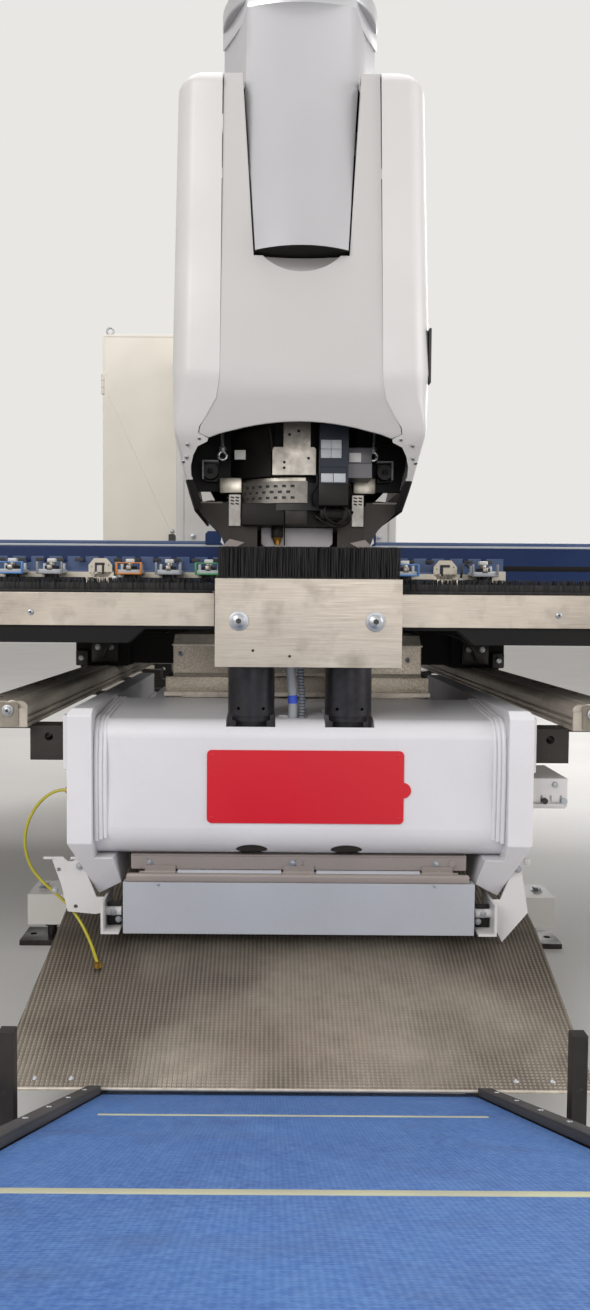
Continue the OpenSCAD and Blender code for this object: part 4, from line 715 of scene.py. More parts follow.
def head_skirt():
    """The dark skirt below the head, its front wall drawn in to the ram and lower at the top."""
    mesh = node_mesh("head_skirt")
    for v in mesh.verts:
        if v.co.y < -90 and v.co.z > 1140:
            v.co.z = 1130
        elif 1050 < v.co.z < 1060:
            v.co.z += 13
        elif v.co.z < 1030 and abs(v.co.x) > 150:
            v.co.x *= 0.95
    soften(mesh, 1.5)
    for s in (-1, 1):
        prism(mesh, [(s * 90, -119, 1030), (s * 152, -119, 1030), (s * 164, -119, 1050),
                     (s * 164, -119, 1126), (s * 90, -119, 1110)], (0, 4, 0))
        block(mesh, s * 168, s * 226, -121, -62, 1127, 1131, 1.5, 1)
        prism(mesh, [(s * 152, -121, 1048), (s * 166, -121, 1034), (s * 140, -121, 1028),
                     (s * 118, -121, 1040)], (0, 2, 0), 1, 0.6)
    flat(piece("head_skirt_finished", mesh, [SKIRT, STRIP], "machine_frame", ["head_skirt"]))


head_skirt()
softened("ram", STRIPPER, 2.0)
carried("punch", material=OILED)


CLAMP_RING_R = 153.4


def head_details():
    """Labels, panels, cables and small fittings between the covers."""
    mesh = bmesh.new()
    white, light, black, steel, brass, blue, grey, pale, dark, bright = range(10)
    block(mesh, -140, -116, -157, -148, 1220, 1240, 0.6, white,
          Matrix.Rotation(math.radians(-6), 4, "Z"))
    block(mesh, 110, 136, -181, -177, 1212, 1232, 0.6, white)
    block(mesh, 108, 160, -178, -152, 1209, 1244, 2, blue)
    for x in (47, 69.6):
        for z in (1217, 1236.6):
            block(mesh, x, x + 22, -206, -202, z, z + 19, 0.6, light)
    for x0, x1 in ((48, 73.8), (75, 101)):
        block(mesh, x0, x1, -206.5, -202, 1165, 1184, 0.8, light)
    block(mesh, 43.4, 107.6, -206.2, -198, 1115.4, 1163, 2, black)
    block(mesh, -124, -29, -146, -70, 1077, 1126, 2.5, black)
    block(mesh, -28, 22, -150, -70, 1078, 1127, 2.5, dark)
    block(mesh, 48, 100, -168, -80, 1090, 1115, 6, black)
    # shoulders of the clamp ring beside the slotted guard
    for s in (-1, 1):
        block(mesh, s * 126, s * 176, -104, -62, 1152, 1187, 2, bright)
        rod(mesh, (s * 168, -121, 1252), (s * 168, -121, 1284), 3.6, sides=20, mat=steel)
    for x, z in ((-20, 1272), (0, 1280), (-31, 1212), (-31, 1200), (22, 1221)):
        rod(mesh, (x, -172.4, z), (x, -170, z), 3.2, sides=16, mat=black)
    # guide rollers turn in grey brackets with a bolt through them
    for s in (-1, 1):
        block(mesh, s * 211, s * 215, -112, -60, 1182, 1222, 1.2, grey)
        block(mesh, s * 178, s * 215, -112, -60, 1221, 1225, 1.2, grey)
        bolt(mesh, (s * 196, -116, 1200), FRONT, 5, black)
        rod(mesh, (s * 168, -120, 1243), (s * 168, -120, 1253), 8, sides=20, mat=steel, edge=1)
        block(mesh, s * 168 - 9, s * 168 + 9, -127, -113, 1284, 1300, 1.5, black)
        prism(mesh, [(s * 170, -124, 1052), (s * 163, -124, 1032), (s * 172, -124, 1040)],
              (0, 4, 0), pale)
    for x, z in ((-95, 1168), (-40, 1172), (130, 1168)):
        y = -math.sqrt(CLAMP_RING_R ** 2 - x * x)
        button_screw(mesh, (x, y, z - 2), (x, y, 0), 3.4, steel)
    for radius, *cable in (
            (3.2, (96, -188, 1118), (112, -196, 1096), (96, -172, 1074), (64, -150, 1082),
             (40, -138, 1098)),
            (2.6, (60, -192, 1118), (56, -200, 1100), (72, -186, 1082), (104, -160, 1084),
             (122, -140, 1108)),
            (2.6, (34, -156, 1120), (30, -170, 1142), (40, -178, 1162), (41, -176, 1186)),
            (3, (-60, -140, 1320), (-66, -176, 1300), (-60, -178, 1262), (-58, -168, 1236))):
        tube(mesh, cable, radius, black)
    # the spray nozzle sits in a round black holder
    rod(mesh, (-45, -102, 1052), (-45, -102, 1077), 13.5, sides=32, mat=black, edge=2)
    rod(mesh, (-45, -102, 1036), (-45, -102, 1053), 6, 12.5, 32, brass)
    rod(mesh, (-45, -112, 1037), (-45, -115, 1046), 5, 3, 24, brass)
    block(mesh, -30, -27, -82.6, -81.6, 1036, 1076, 0.2, black)
    piece("head_fittings", mesh, [LABEL, GREY_PANEL, BLACK, SCREW, BRASS, GREY_BLUE, GREY, WHITE,
                                  BRACKET, RING], "machine_frame", ["spray_nozzle"])


head_details()

# Frame and arms
softened("base_frame", COLUMN, 4.0)
softened("levelling_feet", OILED, 1.5)
softened("lower_arm", ARM, 2.5)
softened("arm_cheek_left", ARM, 5.0, 3)
softened("arm_cheek_right", ARM, 5.0, 3)
softened("guide_rails", RAILS, 1.2, 1)
softened("rail_brackets", BRACKET, 1.5)
softened("die", RING, 1.0)
softened("lift_columns", OXIDE, 1.0, 1)


def recessed(node, material, width, margin, depth, bigger_than):
    """A CAD node whose large upright faces carry recessed cover panels."""
    mesh = node_mesh(node)
    large = [f for f in mesh.faces if f.calc_area() > bigger_than and abs(f.normal.z) < 0.3]
    if large:
        bmesh.ops.inset_individual(mesh, faces=large, thickness=margin, depth=0)
        bmesh.ops.inset_individual(mesh, faces=large, thickness=depth, depth=-depth)
    finished(node, mesh, material, width, 3)


recessed("rear_column", COLUMN, 8.0, 45, 4, 500000)
recessed("upper_arm", COLUMN, 8.0, 40, 4, 400000)
# the housing's faces that look up and forward, its bevels, and its top are painted bright: painted
# highlights where the light falls
softened("die_housing", [PEARL, BEVEL], 2.0, paint=lambda f: int(
    f.normal.z > 0.4 and f.normal.y < -0.2 or f.calc_center_median().z > 836))


# the round lower edge of the arm's front
ARM_EDGE_Y, ARM_EDGE_Z, ARM_EDGE_R = -410, 472, 60.6
WELD_RUN = [(-469.5, 470), (-469.5, 640), (-462, 663), (-440, 678), (-405, 681), (-218, 697)]


def arm_details():
    """Weld beads, the red plate, dark patches of painted shade at the drain holes, and the pads of
    the lower arm.
    """
    mesh = bmesh.new()
    for s in (-1, 1):
        for k, x in enumerate((390, 381, 372.5)):
            tube(mesh, [(s * x, -468, 446 + 3 * k)] + [(s * x, y, z) for y, z in WELD_RUN],
                 5.2 - 0.5 * k, 0, 12)
        tube(mesh, [(s * 393, -205, 643), (s * 393, 100, 643), (s * 393, 495, 643)], 6, 0, 12)
        # a dark patch bent round the arm's lower edge paints the shade in each drain hole
        hole_shade = bmesh.ops.create_grid(mesh, x_segments=12, y_segments=8, size=1)["verts"]
        for v in hole_shade:
            a, b = v.co.x, v.co.y
            turn = math.radians(49) + b * math.sqrt(1 - a * a / 2) * 14.5 / 60
            v.co = (s * 92 + a * math.sqrt(1 - b * b / 2) * 30.5,
                    ARM_EDGE_Y - ARM_EDGE_R * math.cos(turn),
                    ARM_EDGE_Z - ARM_EDGE_R * math.sin(turn))
        face_front(mesh, list(painted(hole_shade, 4)))
        block(mesh, s * 150, s * 250, -213, -206, 699, 704, 1, 2)
        # the rail carriers are bolted to their pads
        for y in (-415, -360, 320, 375):
            bolt(mesh, (s * 459, y, 630), (s, 0, 0), 6, 3)
    piece("arm_weld_beads", mesh, [ARM, RUBBER, BEVEL, SCREW, BRACKET], "machine_frame")
    mesh = bmesh.new()
    plate(mesh, -178, 199, -472.4, -470, 482, 623, 9, "Y")
    rod(mesh, (198, -472.1, 547), (198, -470, 547), 15, sides=40)
    for x in (-168, 189):
        for z in (492, 613):
            rod(mesh, (x, -473.2, z), (x, -472, z), 3.2, sides=20, edge=0.4)
    piece("red_plate", mesh, RED, "machine_frame")
    mesh = bmesh.new()
    for x, z in ((-254, 793), (241, 782)):
        button_screw(mesh, (x, -200, z), FRONT, 6)
    block(mesh, -286, 286, -209, -120, 699, 745, 2.5, 3)
    # thin bright plates along the housing's foot and lip: painted highlights on those edges
    plate(mesh, -289, 289, -213, -208, 702.5, 711, 1, "Y", mat=2)
    plate(mesh, -272, 272, -202, -200, 810.5, 814, 0.8, "Y", mat=2)
    piece("die_housing_screws", mesh, [SCREW, RUBBER, BEVEL, PEARL], "machine_frame")


arm_details()


def conduits():
    """Two flexible conduits that lean between the lift columns."""
    mesh = bmesh.new()
    # the thick one, the ribbed one, and a turn of tape on the thick one
    for mat, radius, *route in ((0, 9.2, (-20, 816), (-18.6, 776), (-13.5, 716), (-13, 642)),
                                (1, 6.4, (0, 816), (1, 776), (4.6, 716), (5, 642)),
                                (2, 9.8, (-14.2, 724), (-13.4, 715), (-13.2, 708))):
        tube(mesh, [(x, -415, z) for x, z in route], radius, mat, 20)
    piece("leaning_conduits", mesh, [CONDUIT, RIBBED, TAPE], "machine_frame", ["conduits"])


conduits()


RAIL_START_Y, RAIL_END_Y = -455, 1680


def rail_ends():
    """End caps with a button screw, and bright lines along each guide rail: painted highlights on
    its running edge.
    """
    mesh = bmesh.new()
    for s in (-1, 1):
        plate(mesh, s * 541, s * 629, -462, -459, 664, 710, 4, "Y", mat=2)
        button_screw(mesh, (s * 561, -462, 695), FRONT, 8, washer=11)
        # the bar and thin strips in bright steel along the rail are painted highlight lines
        for x, z, radius, sides in ((555, 701.5, 13, 24), (615, 713, 1.2, 8)):
            rod(mesh, (s * x, RAIL_START_Y, z), (s * x, RAIL_END_Y, z), radius, sides=sides, mat=3)
        for z0, z1 in ((690, 694), (666, 669)):
            block(mesh, s * 539.2, s * 545, RAIL_START_Y, RAIL_END_Y, z0, z1, 1, 3)
        for y in range(-380, 1660, 160):
            rod(mesh, (s * 598, y, 712.6), (s * 598, y, 713.4), 7, sides=20, mat=1)
    piece("rail_caps", mesh, [SCREW, RUBBER, CAP_PLATE, RAIL_HIGHLIGHT], "machine_frame")


rail_ends()

# Nose table
softened("nose_plate", STAINLESS, 1.8)
softened("nose_block", OXIDE, 1.5)


def nose_screws():
    """The two large button screws on washers that hold the nose plate."""
    mesh = bmesh.new()
    for x in (-116, 133):
        button_screw(mesh, (x, -550.4, 871), FRONT, 13, washer=18)
    piece("nose_plate_screws", mesh, [SCREW, RUBBER], "nose_table", ["nose_screws"])


nose_screws()


def brush(mesh, places, height, spread, strands, thick, sides=4):
    """Clumps of bristles that fan out a little towards uneven tips."""
    kinds = []
    for _ in range(7):
        one = bmesh.new()
        for _ in range(strands):
            turn, reach = dice.uniform(0, math.tau), spread * math.sqrt(dice.random())
            foot = Vector((reach * math.cos(turn), reach * math.sin(turn) * 0.8, 0))
            tip = foot + Vector((dice.gauss(0, 1.5), dice.gauss(0, 1.3),
                                 height - dice.uniform(0, 2.5)))
            rod(one, foot, tip, thick, thick * 0.8, sides=sides)
        data = bpy.data.meshes.new("clump")
        one.to_mesh(data)
        one.free()
        kinds.append([data, Vector()])
    for place in places:
        kind = kinds[dice.randrange(len(kinds))]
        place = Vector(place)
        kind[0].transform(Matrix.Translation(place - kind[1]))
        kind[1] = place
        mesh.from_mesh(kind[0])
    for data, _ in kinds:
        bpy.data.meshes.remove(data)


def nose_brush():
    """The nose table's brush: three dense front rows, and looser rows behind them."""
    mesh = bmesh.new()
    block(mesh, -152, 175, -544, -346, 925, 951, 2, 0)
    # a core behind the first rows keeps the brush dense
    block(mesh, -151, 174, -530, -352, 948, 994, 3, 0)
    front = [(-148.5 + 10.2 * i + 5 * (row % 2) + dice.uniform(-1.5, 1.5), y, 946)
             for row, y in enumerate((-541, -534, -527)) for i in range(32)]
    brush(mesh, front, 61, 4.6, 18, 0.95)
    back = [(-147 + 12 * i + dice.uniform(-2, 2), y, 946)
            for y in range(-512, -350, 18) for i in range(27)]
    brush(mesh, back, 60, 6.2, 8, 1.1)
    piece("nose_bristles", mesh, BRISTLE, "nose_table", ["nose_brush"])


nose_brush()

# Side tables and beam
# the side tables are near black, darker than their own paint: painted shade under the tables
carried("side_table_left", "side_table_right", material=BLACK_UNDERSIDE_AND_SHADE)
softened("table_carriers", BLACK_UNDERSIDE_AND_SHADE, 1.5)


def table_edges():
    """The stainless edge plates of the tables, their lower rim drawn up a little."""
    mesh = node_mesh("table_edges")
    for v in mesh.verts:
        if v.co.z < 856:
            v.co.z += 6
    finished("table_edges", mesh, STAINLESS, 1.2)


table_edges()
softened("carriage_blocks", BLACK_UNDERSIDE_AND_SHADE, 2.5)
softened("y_beam", NAVY, 2.0)
softened("beam_cover", NAVY, 2.0)


BEAM_HALF = 2376


def beam_strip():
    """A pale cover strip along the beam's top, a pale grey strip painted as the highlight on its
    front edge, and a near-black strip below painted as the shade in a slot.
    """
    mesh = bmesh.new()
    block(mesh, -BEAM_HALF, BEAM_HALF, 1293, 1427, 1120, 1134, 3, 0)
    # a pale grey strip along the front edge: a painted highlight
    block(mesh, -BEAM_HALF, BEAM_HALF, 1289, 1293, 1113, 1121, 1, 1)
    # a near-black strip: painted shade standing for a slot
    block(mesh, -BEAM_HALF, BEAM_HALF, 1288.5, 1291, 1031, 1049, 0.8, 2)
    piece("beam_strip", mesh, [RAIL_BLUE, GREY_PANEL, BLACK_UNDERSIDE_AND_SHADE], BODY_OF["y_beam"])


beam_strip()


ROW_COUNT, FIRST_ROW_Y, ROW_PITCH = 16, -458, 98
TABLE_SPANS = ((-2386, -170), (192, 2386))
CLUMP_PITCH = 9.5


def table_bristles():
    """Bristle strips in aluminium holders on the deck, and the screws of the edge plates."""
    mesh = bmesh.new()
    front, others = [], []
    for row in range(ROW_COUNT):
        y = FIRST_ROW_Y + ROW_PITCH * row
        for x0, x1 in TABLE_SPANS:
            # the front row's holder is black
            block(mesh, x0, x1, y - 6, y + 6, 922, 928, 1, 1 if row else 0)
            block(mesh, x0 + 1, x1 - 1, y - 2.6, y + 2.6, 927, 941, 0.5, 0)
            steps = int((x1 - x0 - 8) / CLUMP_PITCH)
            spots = [(x0 + 6 + CLUMP_PITCH * i + dice.uniform(-1, 1), y, 926)
                     for i in range(steps)]
            if row == 0:
                front += spots
            else:
                others += spots[::2]
    brush(mesh, front, 25, 5.0, 9, 1.0)
    brush(mesh, others, 21, 8.5, 5, 1.6, 3)
    piece("table_bristles", mesh, [BRISTLE, GUARD], "y_carriage", ["table_brushes"])
    mesh = bmesh.new()
    for x in [-514 - 470 * i for i in range(5)] + [489 + 470 * i for i in range(5)]:
        button_screw(mesh, (x, -470, 884), FRONT, 6)
    for s in (-1, 1):
        # lubrication blocks and a sensor on each carriage
        block(mesh, s * 520, s * 600, 628, 641, 724, 790, 3, 2)
        block(mesh, s * 610, s * 646, 622, 641, 716, 760, 3, 1)
        for x in (540, 580):
            bolt(mesh, (s * x, 628, 770), FRONT, 7)
        rod(mesh, (s * 628, 612, 738), (s * 628, 623, 738), 8, edge=1)
        tube(mesh, [(s * 560, 628, 740), (s * 556, 606, 752), (s * 530, 604, 790),
                    (s * 470, 640, 820), (s * 420, 760, 836)], 5, 1)
    piece("table_fittings", mesh, [SCREW, RUBBER, OILED], "y_carriage")


table_bristles()

# Tool rail
softened("x_rail", RAIL_BLUE, 0.8, 1)
softened("clamp_bodies", BEIGE, 1.5)
softened("clamp_jaw_left", GROUND, 1.0)
softened("clamp_jaw_right", GROUND, 1.0)
RAIL_FRONT_Y = 1209.7
CLAMP_XS = (-672, 565)
CASSETTE_XS = [x for x in range(692, -2099, -139) if all(abs(x - c) > 100 for c in CLAMP_XS)]


def cassettes():
    """Tool cassettes: a pale carrier, a dark tool, a coloured clip and a white knob."""
    mesh = bmesh.new()
    panel, knob, orange, green, blue, dark, grey, steel = range(8)
    clips = {-559: orange, -281: green, 414: blue, -976: blue, 136: orange, -1393: green,
             -1810: orange}
    y = RAIL_FRONT_Y
    for x in CASSETTE_XS:
        clip = clips.get(x, grey)
        block(mesh, x - 46, x + 46, y - 88, y, 1008, 1021, 1.5, panel)
        for s in (-1, 1):
            block(mesh, x + s * 34 - 5, x + s * 34 + 5, y - 19, y, 1018, 1044, 2, panel)
            block(mesh, x + s * 43 - 3.5, x + s * 43 + 3.5, y - 93, y - 80, 1006, 1047, 1.5, clip)
        block(mesh, x - 46, x + 46, y - 93, y - 86, 1004, 1010, 1.5, clip)
        if x in clips:
            block(mesh, x - 46, x + 46, y - 92, y - 88, 1043, 1047, 1.5, clip)
        rod(mesh, (x, y - 48, 985), (x, y - 48, 1034), 25, sides=36, mat=dark, edge=1.5)
        rod(mesh, (x, y - 48, 1034), (x, y - 48, 1046), 13, sides=32, mat=steel, edge=1)
        block(mesh, x - 15, x + 15, y - 60, y - 34, 1046, 1060, 3, knob)
        block(mesh, x - 9, x + 9, y - 90, y - 78, 1018, 1036, 2, steel)
    piece("cassettes", mesh, [GREY_PANEL, LABEL, ORANGE, GREEN, PALE_BLUE, OXIDE, GREY, GROUND],
          "x_slide", ["tool_cassettes"])


def rail_details():
    """The tool rail's beige strip, dark blocks of painted shade for its slots, its screws, and
    fittings by each clamp.
    """
    mesh = bmesh.new()
    beige, black, steel = range(3)
    y = RAIL_FRONT_Y
    plate(mesh, -2170, 776, y - 12, y, 996, 1015, 1, "Y", mat=beige)
    # dark blocks stand for the rail's slots: painted shade inside them
    for x in range(-2150, 760, 70):
        block(mesh, x - 15, x + 15, y - 1.5, y + 1, 1053, 1065, 0.5, black)
    plate(mesh, 722, 770, y - 60, y, 984, 1024, 4, "Y", mat=beige)
    for x in CLAMP_XS:
        # a bent slot on the clamp's face, drawn as dark blocks: painted shade in the slot
        foot = x + (10 if x < 0 else -12)
        block(mesh, x - 16, x + 16, y - 13, y - 8, 1039, 1048, 0, black)
        block(mesh, foot - 4, foot + 4, y - 13, y - 8, 1008, 1040, 0, black)
        for dx, z in ((30, 1040), (-30, 1034)):
            button_screw(mesh, (x + dx, y - 12, z), FRONT, 3, steel)
        rod(mesh, (x + 54, y - 30, 990), (x + 54, y, 990), 11, mat=steel, edge=1)
        tube(mesh, [(x + 54, y - 24, 1000), (x + 58, y - 26, 1034), (x + 70, y - 4, 1052),
                    (x + 90, y + 10, 1040)], 4, black)
    for x in range(-2100, 760, 209):
        button_screw(mesh, (x, y, 985), FRONT, 5, steel)
    piece("rail_fittings", mesh, [BEIGE, RUBBER, SCREW, RUBBER], "x_slide")


cassettes()
rail_details()

# Chute, flap and hose

def chute():
    """The chute, its left front corner flared a little wider."""
    mesh = node_mesh("chute")
    for v in mesh.verts:
        if v.co.y < -700 and v.co.x < -470:
            v.co.x -= 28
    finished("chute", mesh, CHUTE, 0.8, 1)


chute()
softened("flap_brackets", WHITE, 1.0)
softened("flap_beam", STRIP, 1.0)
softened("chute_flap", FLAP, 2.0)
softened("cable_bracket", WHITE, 0.8)


def flap_details():
    """The strips above the flap and their screws, one on the frame and one on the flap."""
    mesh = bmesh.new()
    plate(mesh, -327, 327, -440.5, -437, 384, 409, 2, "Y", mat=1)
    for x in (-291, -11.4, 268):
        bolt(mesh, (x, -440.5, 397), FRONT, 5)
    piece("flap_beam_strip", mesh, [SCREW, STRIP], "machine_frame")
    # the cover strip takes the darker strip grey: painted shade on the recessed band under the beam
    # low enough to clear the hinge's fixed knuckles when the flap is up
    mesh = bmesh.new()
    block(mesh, -334, 330, -466, -454, 363, 381, 6, 1, segments=5)
    for x in (-272, 262):
        rod(mesh, (x, -467, 360), (x, -465, 360), 2.6, sides=20, edge=0.5)
    piece("flap_cover_strip", mesh, [SCREW, STRIP], "flap")


def chute_details():
    """Screws and stops of the flap's brackets, and the chute's rolled front edge."""
    mesh = bmesh.new()
    for x, z, radius in ((361, 300, 7), (352, 284, 5)):
        for s in (-1, 1):
            bolt(mesh, (s * x, -441, z), FRONT, radius)
    for s in (-1, 1):
        block(mesh, s * 347, s * 374, -440, -436, 272, 318, 1, 2)
        bolt(mesh, (s * 428, -440, 388), FRONT, 6)
    bolt(mesh, (-476, -440, 340), FRONT, 5)
    for x0, x1 in ((-499, -478), (-446, -428)):
        block(mesh, x0, x1, -441, -434.5, 401, 406, 1, 1)
    block(mesh, 441, 452, -441, -433, 396, 409, 1.5, 1)
    rod(mesh, (-506, -780, 113.4), (478, -780, 113.4), 2.6, sides=16, mat=3)
    # screws that hold the chute on the conveyor
    for x in (-440, -380, 350, 410):
        button_screw(mesh, (x, -762, 121.6), (0, -0.34, 1), 5)
    piece("chute_fittings", mesh, [SCREW, WHITE, BLACK, BEVEL], "machine_frame")


def bracket_cables():
    """Two cables in the C clips of the bracket on the right cheek, and its bolts."""
    mesh = bmesh.new()
    for x, mat in ((482, 1), (520, 2)):
        tube(mesh, [(x, -430, 520), (x, -380, 522), (x, -300, 528), (x - 14, -180, 560),
                    (x - 30, -40, 600), (x - 36, 160, 610)], 6, mat, 16)
    bolt(mesh, (452, -421, 556), FRONT, 4)
    bolt(mesh, (502, -424, 552), FRONT, 5)
    for y in (-395, -285):
        bolt(mesh, (447, y, 520), (1, 0, 0), 6)
    piece("bracket_cables", mesh, [SCREW, RUBBER, CONDUIT], "machine_frame")


flap_details()
chute_details()
bracket_cables()
HOSE_ROUTE = [(-455, -415, 533), (-474, -415, 532), (-494, -415, 523), (-513, -415, 506),
              (-528, -415, 483), (-538, -415, 456), (-541, -415, 428), (-537, -415, 400),
              (-526, -415, 374), (-508, -416, 352), (-487, -418, 333), (-465, -421, 315),
              (-445, -427, 296), (-427, -438, 276), (-412, -454, 258), (-399, -474, 242),
              (-389, -494, 230), (-381, -512, 222)]
HOSE_DIAMETER = 0.006


def hose_nuts():
    """The fittings at the hose's two ends, with a nut where it leaves the cheek."""
    mesh = node_mesh("hose_fittings")
    start = Vector(HOSE_ROUTE[0])
    rod(mesh, start + Vector((12, 0, 0)), start + Vector((1, 0, 0)), 8.5, sides=6, edge=0.7)
    rod(mesh, start + Vector((1, 0, 0)), start + Vector((-5, 0, 0)), 6.2, 5.2, 24)
    return piece("hose_nuts", mesh, BRASS, "machine_frame", ["hose_fittings"])


def air_hose():
    """The thin air hose from the left cheek to the chute, with a nut at each end."""
    route = [TO_ROW @ Vector(p) for p in HOSE_ROUTE]
    thing = smooth_line("air_hose_line", route, HOSE_DIAMETER / 2, 4, 4)
    thing.data.materials.append(HOSE)
    bpy.context.scene.collection.objects.link(thing)
    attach(thing, "machine_frame")
    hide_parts("air_hose")
    hose_nuts()


air_hose()

# Conveyor
softened("conveyor_frame", CONVEYOR_DARK, 1.5)
softened("conveyor_belt", BELT, 0.5, 1)
softened("conveyor_motor", MOTOR, 4.0)
softened("drive_roller", CHROME, 1.0, 1)
softened("tail_roller", CHROME, 1.0, 1)
# the belt's run lies along -Y from the tail roller, and then takes the conveyor's slope
CONVEYOR_X = -22
CONVEYOR_PLACE = (Matrix.Translation((CONVEYOR_X, -737, 51))
                  @ Matrix.Rotation(math.radians(-22.3), 4, "X"))
BELT_RUN = 1257


def conveyor_details():
    """Belt splices, bearing covers, screws and edge profiles, drawn along the belt's run."""
    mesh = bmesh.new()
    block(mesh, -262, 260, -366, -353, 32.6, 33.8, 0.4, 0)
    block(mesh, -304, 304, -931, -910, 32.6, 33.8, 0.4, 0)
    mesh.transform(CONVEYOR_PLACE)
    piece("belt_splices", mesh, SPLICE, "machine_frame")
    mesh = bmesh.new()
    for s in (-1, 1):
        block(mesh, s * 306.5, s * 329, -1240, -60, 41.5, 46.5, 1.5, 3)
        block(mesh, s * 306, s * 313, -1240, -60, 34.5, 43, 1, 3)
        for y in (-BELT_RUN, 0):
            plate(mesh, s * 327, s * 333, y - 26, y + 26, -26, 26, 5, "X", mat=2)
            rod(mesh, (s * 333, y, 0), (s * 337, y, 0), 13, sides=32, mat=2, edge=1)
            for dy in (-19, 19):
                for dz in (-19, 19):
                    bolt(mesh, (s * 333, y + dy, dz), (s, 0, 0), 3.6)
        for y in range(-1150, -80, 130):
            for z in (22, -24):
                button_screw(mesh, (s * 327, y, z), (s, 0, 0), 5)
            rod(mesh, (s * 318, y - 40, 46), (s * 318, y - 40, 48), 4, sides=20, edge=0.5)
    mesh.transform(CONVEYOR_PLACE)
    # foot plates under the posts
    for s in (-1, 1):
        for from_middle, y, half in ((403, -980, 26), (337, -1630, 28), (337, -600, 24)):
            x = CONVEYOR_X + s * from_middle
            block(mesh, x - half, x + half, y - half, y + half, 0, 7, 1.5, 2)
            bolt(mesh, (x, y - half + 8, 7), UP, 5)
    piece("conveyor_fittings", mesh, [SCREW, RUBBER, OILED, CONVEYOR_EDGE], "machine_frame")
    # cooling fins round the motor, and its terminal box with a cable gland
    mesh = bmesh.new()
    for i in range(20):
        a = math.tau * i / 20
        x, z = 369 + 36.6 * math.cos(a), -2 + 36.6 * math.sin(a)
        block(mesh, x - 3.2, x + 3.2, 75 - BELT_RUN, 190 - BELT_RUN, z - 0.9, z + 0.9, 0.3, 0,
              Matrix.Rotation(-a, 4, "Y"))
    block(mesh, 350, 400, 84 - BELT_RUN, 150 - BELT_RUN, 33, 62, 3)
    rod(mesh, (375, 150 - BELT_RUN, 46), (375, 164 - BELT_RUN, 46), 9, mat=1, edge=1)
    mesh.transform(CONVEYOR_PLACE)
    piece("motor_fins", mesh, [MOTOR, RUBBER], "machine_frame")


conveyor_details()

# Cabinet
softened("cabinet_shell", CREAM, 4.0)
recessed("cabinet_door", CREAM, 2.5, 14, 2, 300000)


def lifting_eye(mesh, x, y, z, reach=15, thick=4.5):
    """A steel ring that stands upright, spun round its middle."""
    ring = bmesh.new()
    bmesh.ops.create_circle(ring, segments=12, radius=thick)
    ring.transform(Matrix.Translation((reach, 0, 0)) @ Matrix.Rotation(math.pi / 2, 4, "X"))
    bmesh.ops.spin(ring, geom=list(ring.verts) + list(ring.edges), cent=(0, 0, 0), axis=UP,
                   angle=math.tau, steps=32)
    bmesh.ops.remove_doubles(ring, verts=ring.verts, dist=0.05)
    bmesh.ops.recalc_face_normals(ring, faces=ring.faces)
    ring.transform(Matrix.Translation((x, y, z)) @ Matrix.Rotation(math.pi / 2, 4, "X"))
    data = bpy.data.meshes.new("eye")
    ring.to_mesh(data)
    ring.free()
    mesh.from_mesh(data)
    bpy.data.meshes.remove(data)


def cabinet_details():
    """Lifting eyes, a cooler and cable glands of the cabinet, and the door's handle and hinges."""
    mesh = bmesh.new()
    for x in (-780, -478):
        for y in (2090, 2350):
            rod(mesh, (x, y, 2084), (x, y, 2090), 16, sides=28, edge=1)
            lifting_eye(mesh, x, y, 2107)
    # a cooling unit on the cabinet's outer side
    plate(mesh, -816, -808, 2110, 2330, 900, 1500, 12, "X", mat=1)
    for i in range(22):
        block(mesh, -818, -815, 2130, 2310, 930 + 25 * i, 937 + 25 * i, 0.8, 2)
    for i in range(5):
        x = -760 + 60 * i
        rod(mesh, (x, 2386, 200), (x, 2380, 200), 20, sides=28, mat=2, edge=1)
    piece("cabinet_fittings", mesh, [SCREW, CREAM, RUBBER], "machine_frame")
    mesh = bmesh.new()
    plate(mesh, -514, -486, 2019, 2040, 1040, 1210, 6, "Y", mat=1)
    block(mesh, -506, -494, 2010, 2022, 1080, 1180, 4, 1)
    rod(mesh, (-500, 2034, 1225), (-500, 2041, 1225), 9, sides=28, edge=1)
    for hinge_z in (300, 1060, 1820):
        for z in (hinge_z + 30, hinge_z + 60):
            rod(mesh, (-806, 2040, z), (-806, 2040, z + 2), 7.6)
    piece("door_fittings", mesh, [SCREW, RUBBER], "door")


cabinet_details()


def cover(mesh, s, x, thick, y0, y1, z0, z1, corner):
    """A cover plate on one side of the frame, with a screw in each corner."""
    plate(mesh, s * x, s * (x + thick), y0, y1, z0, z1, corner, "X", mat=3)
    for y in (y0 + 16, y1 - 16):
        for z in (z0 + 16, z1 - 16):
            button_screw(mesh, (s * (x + thick), y, z), (s, 0, 0), 6)


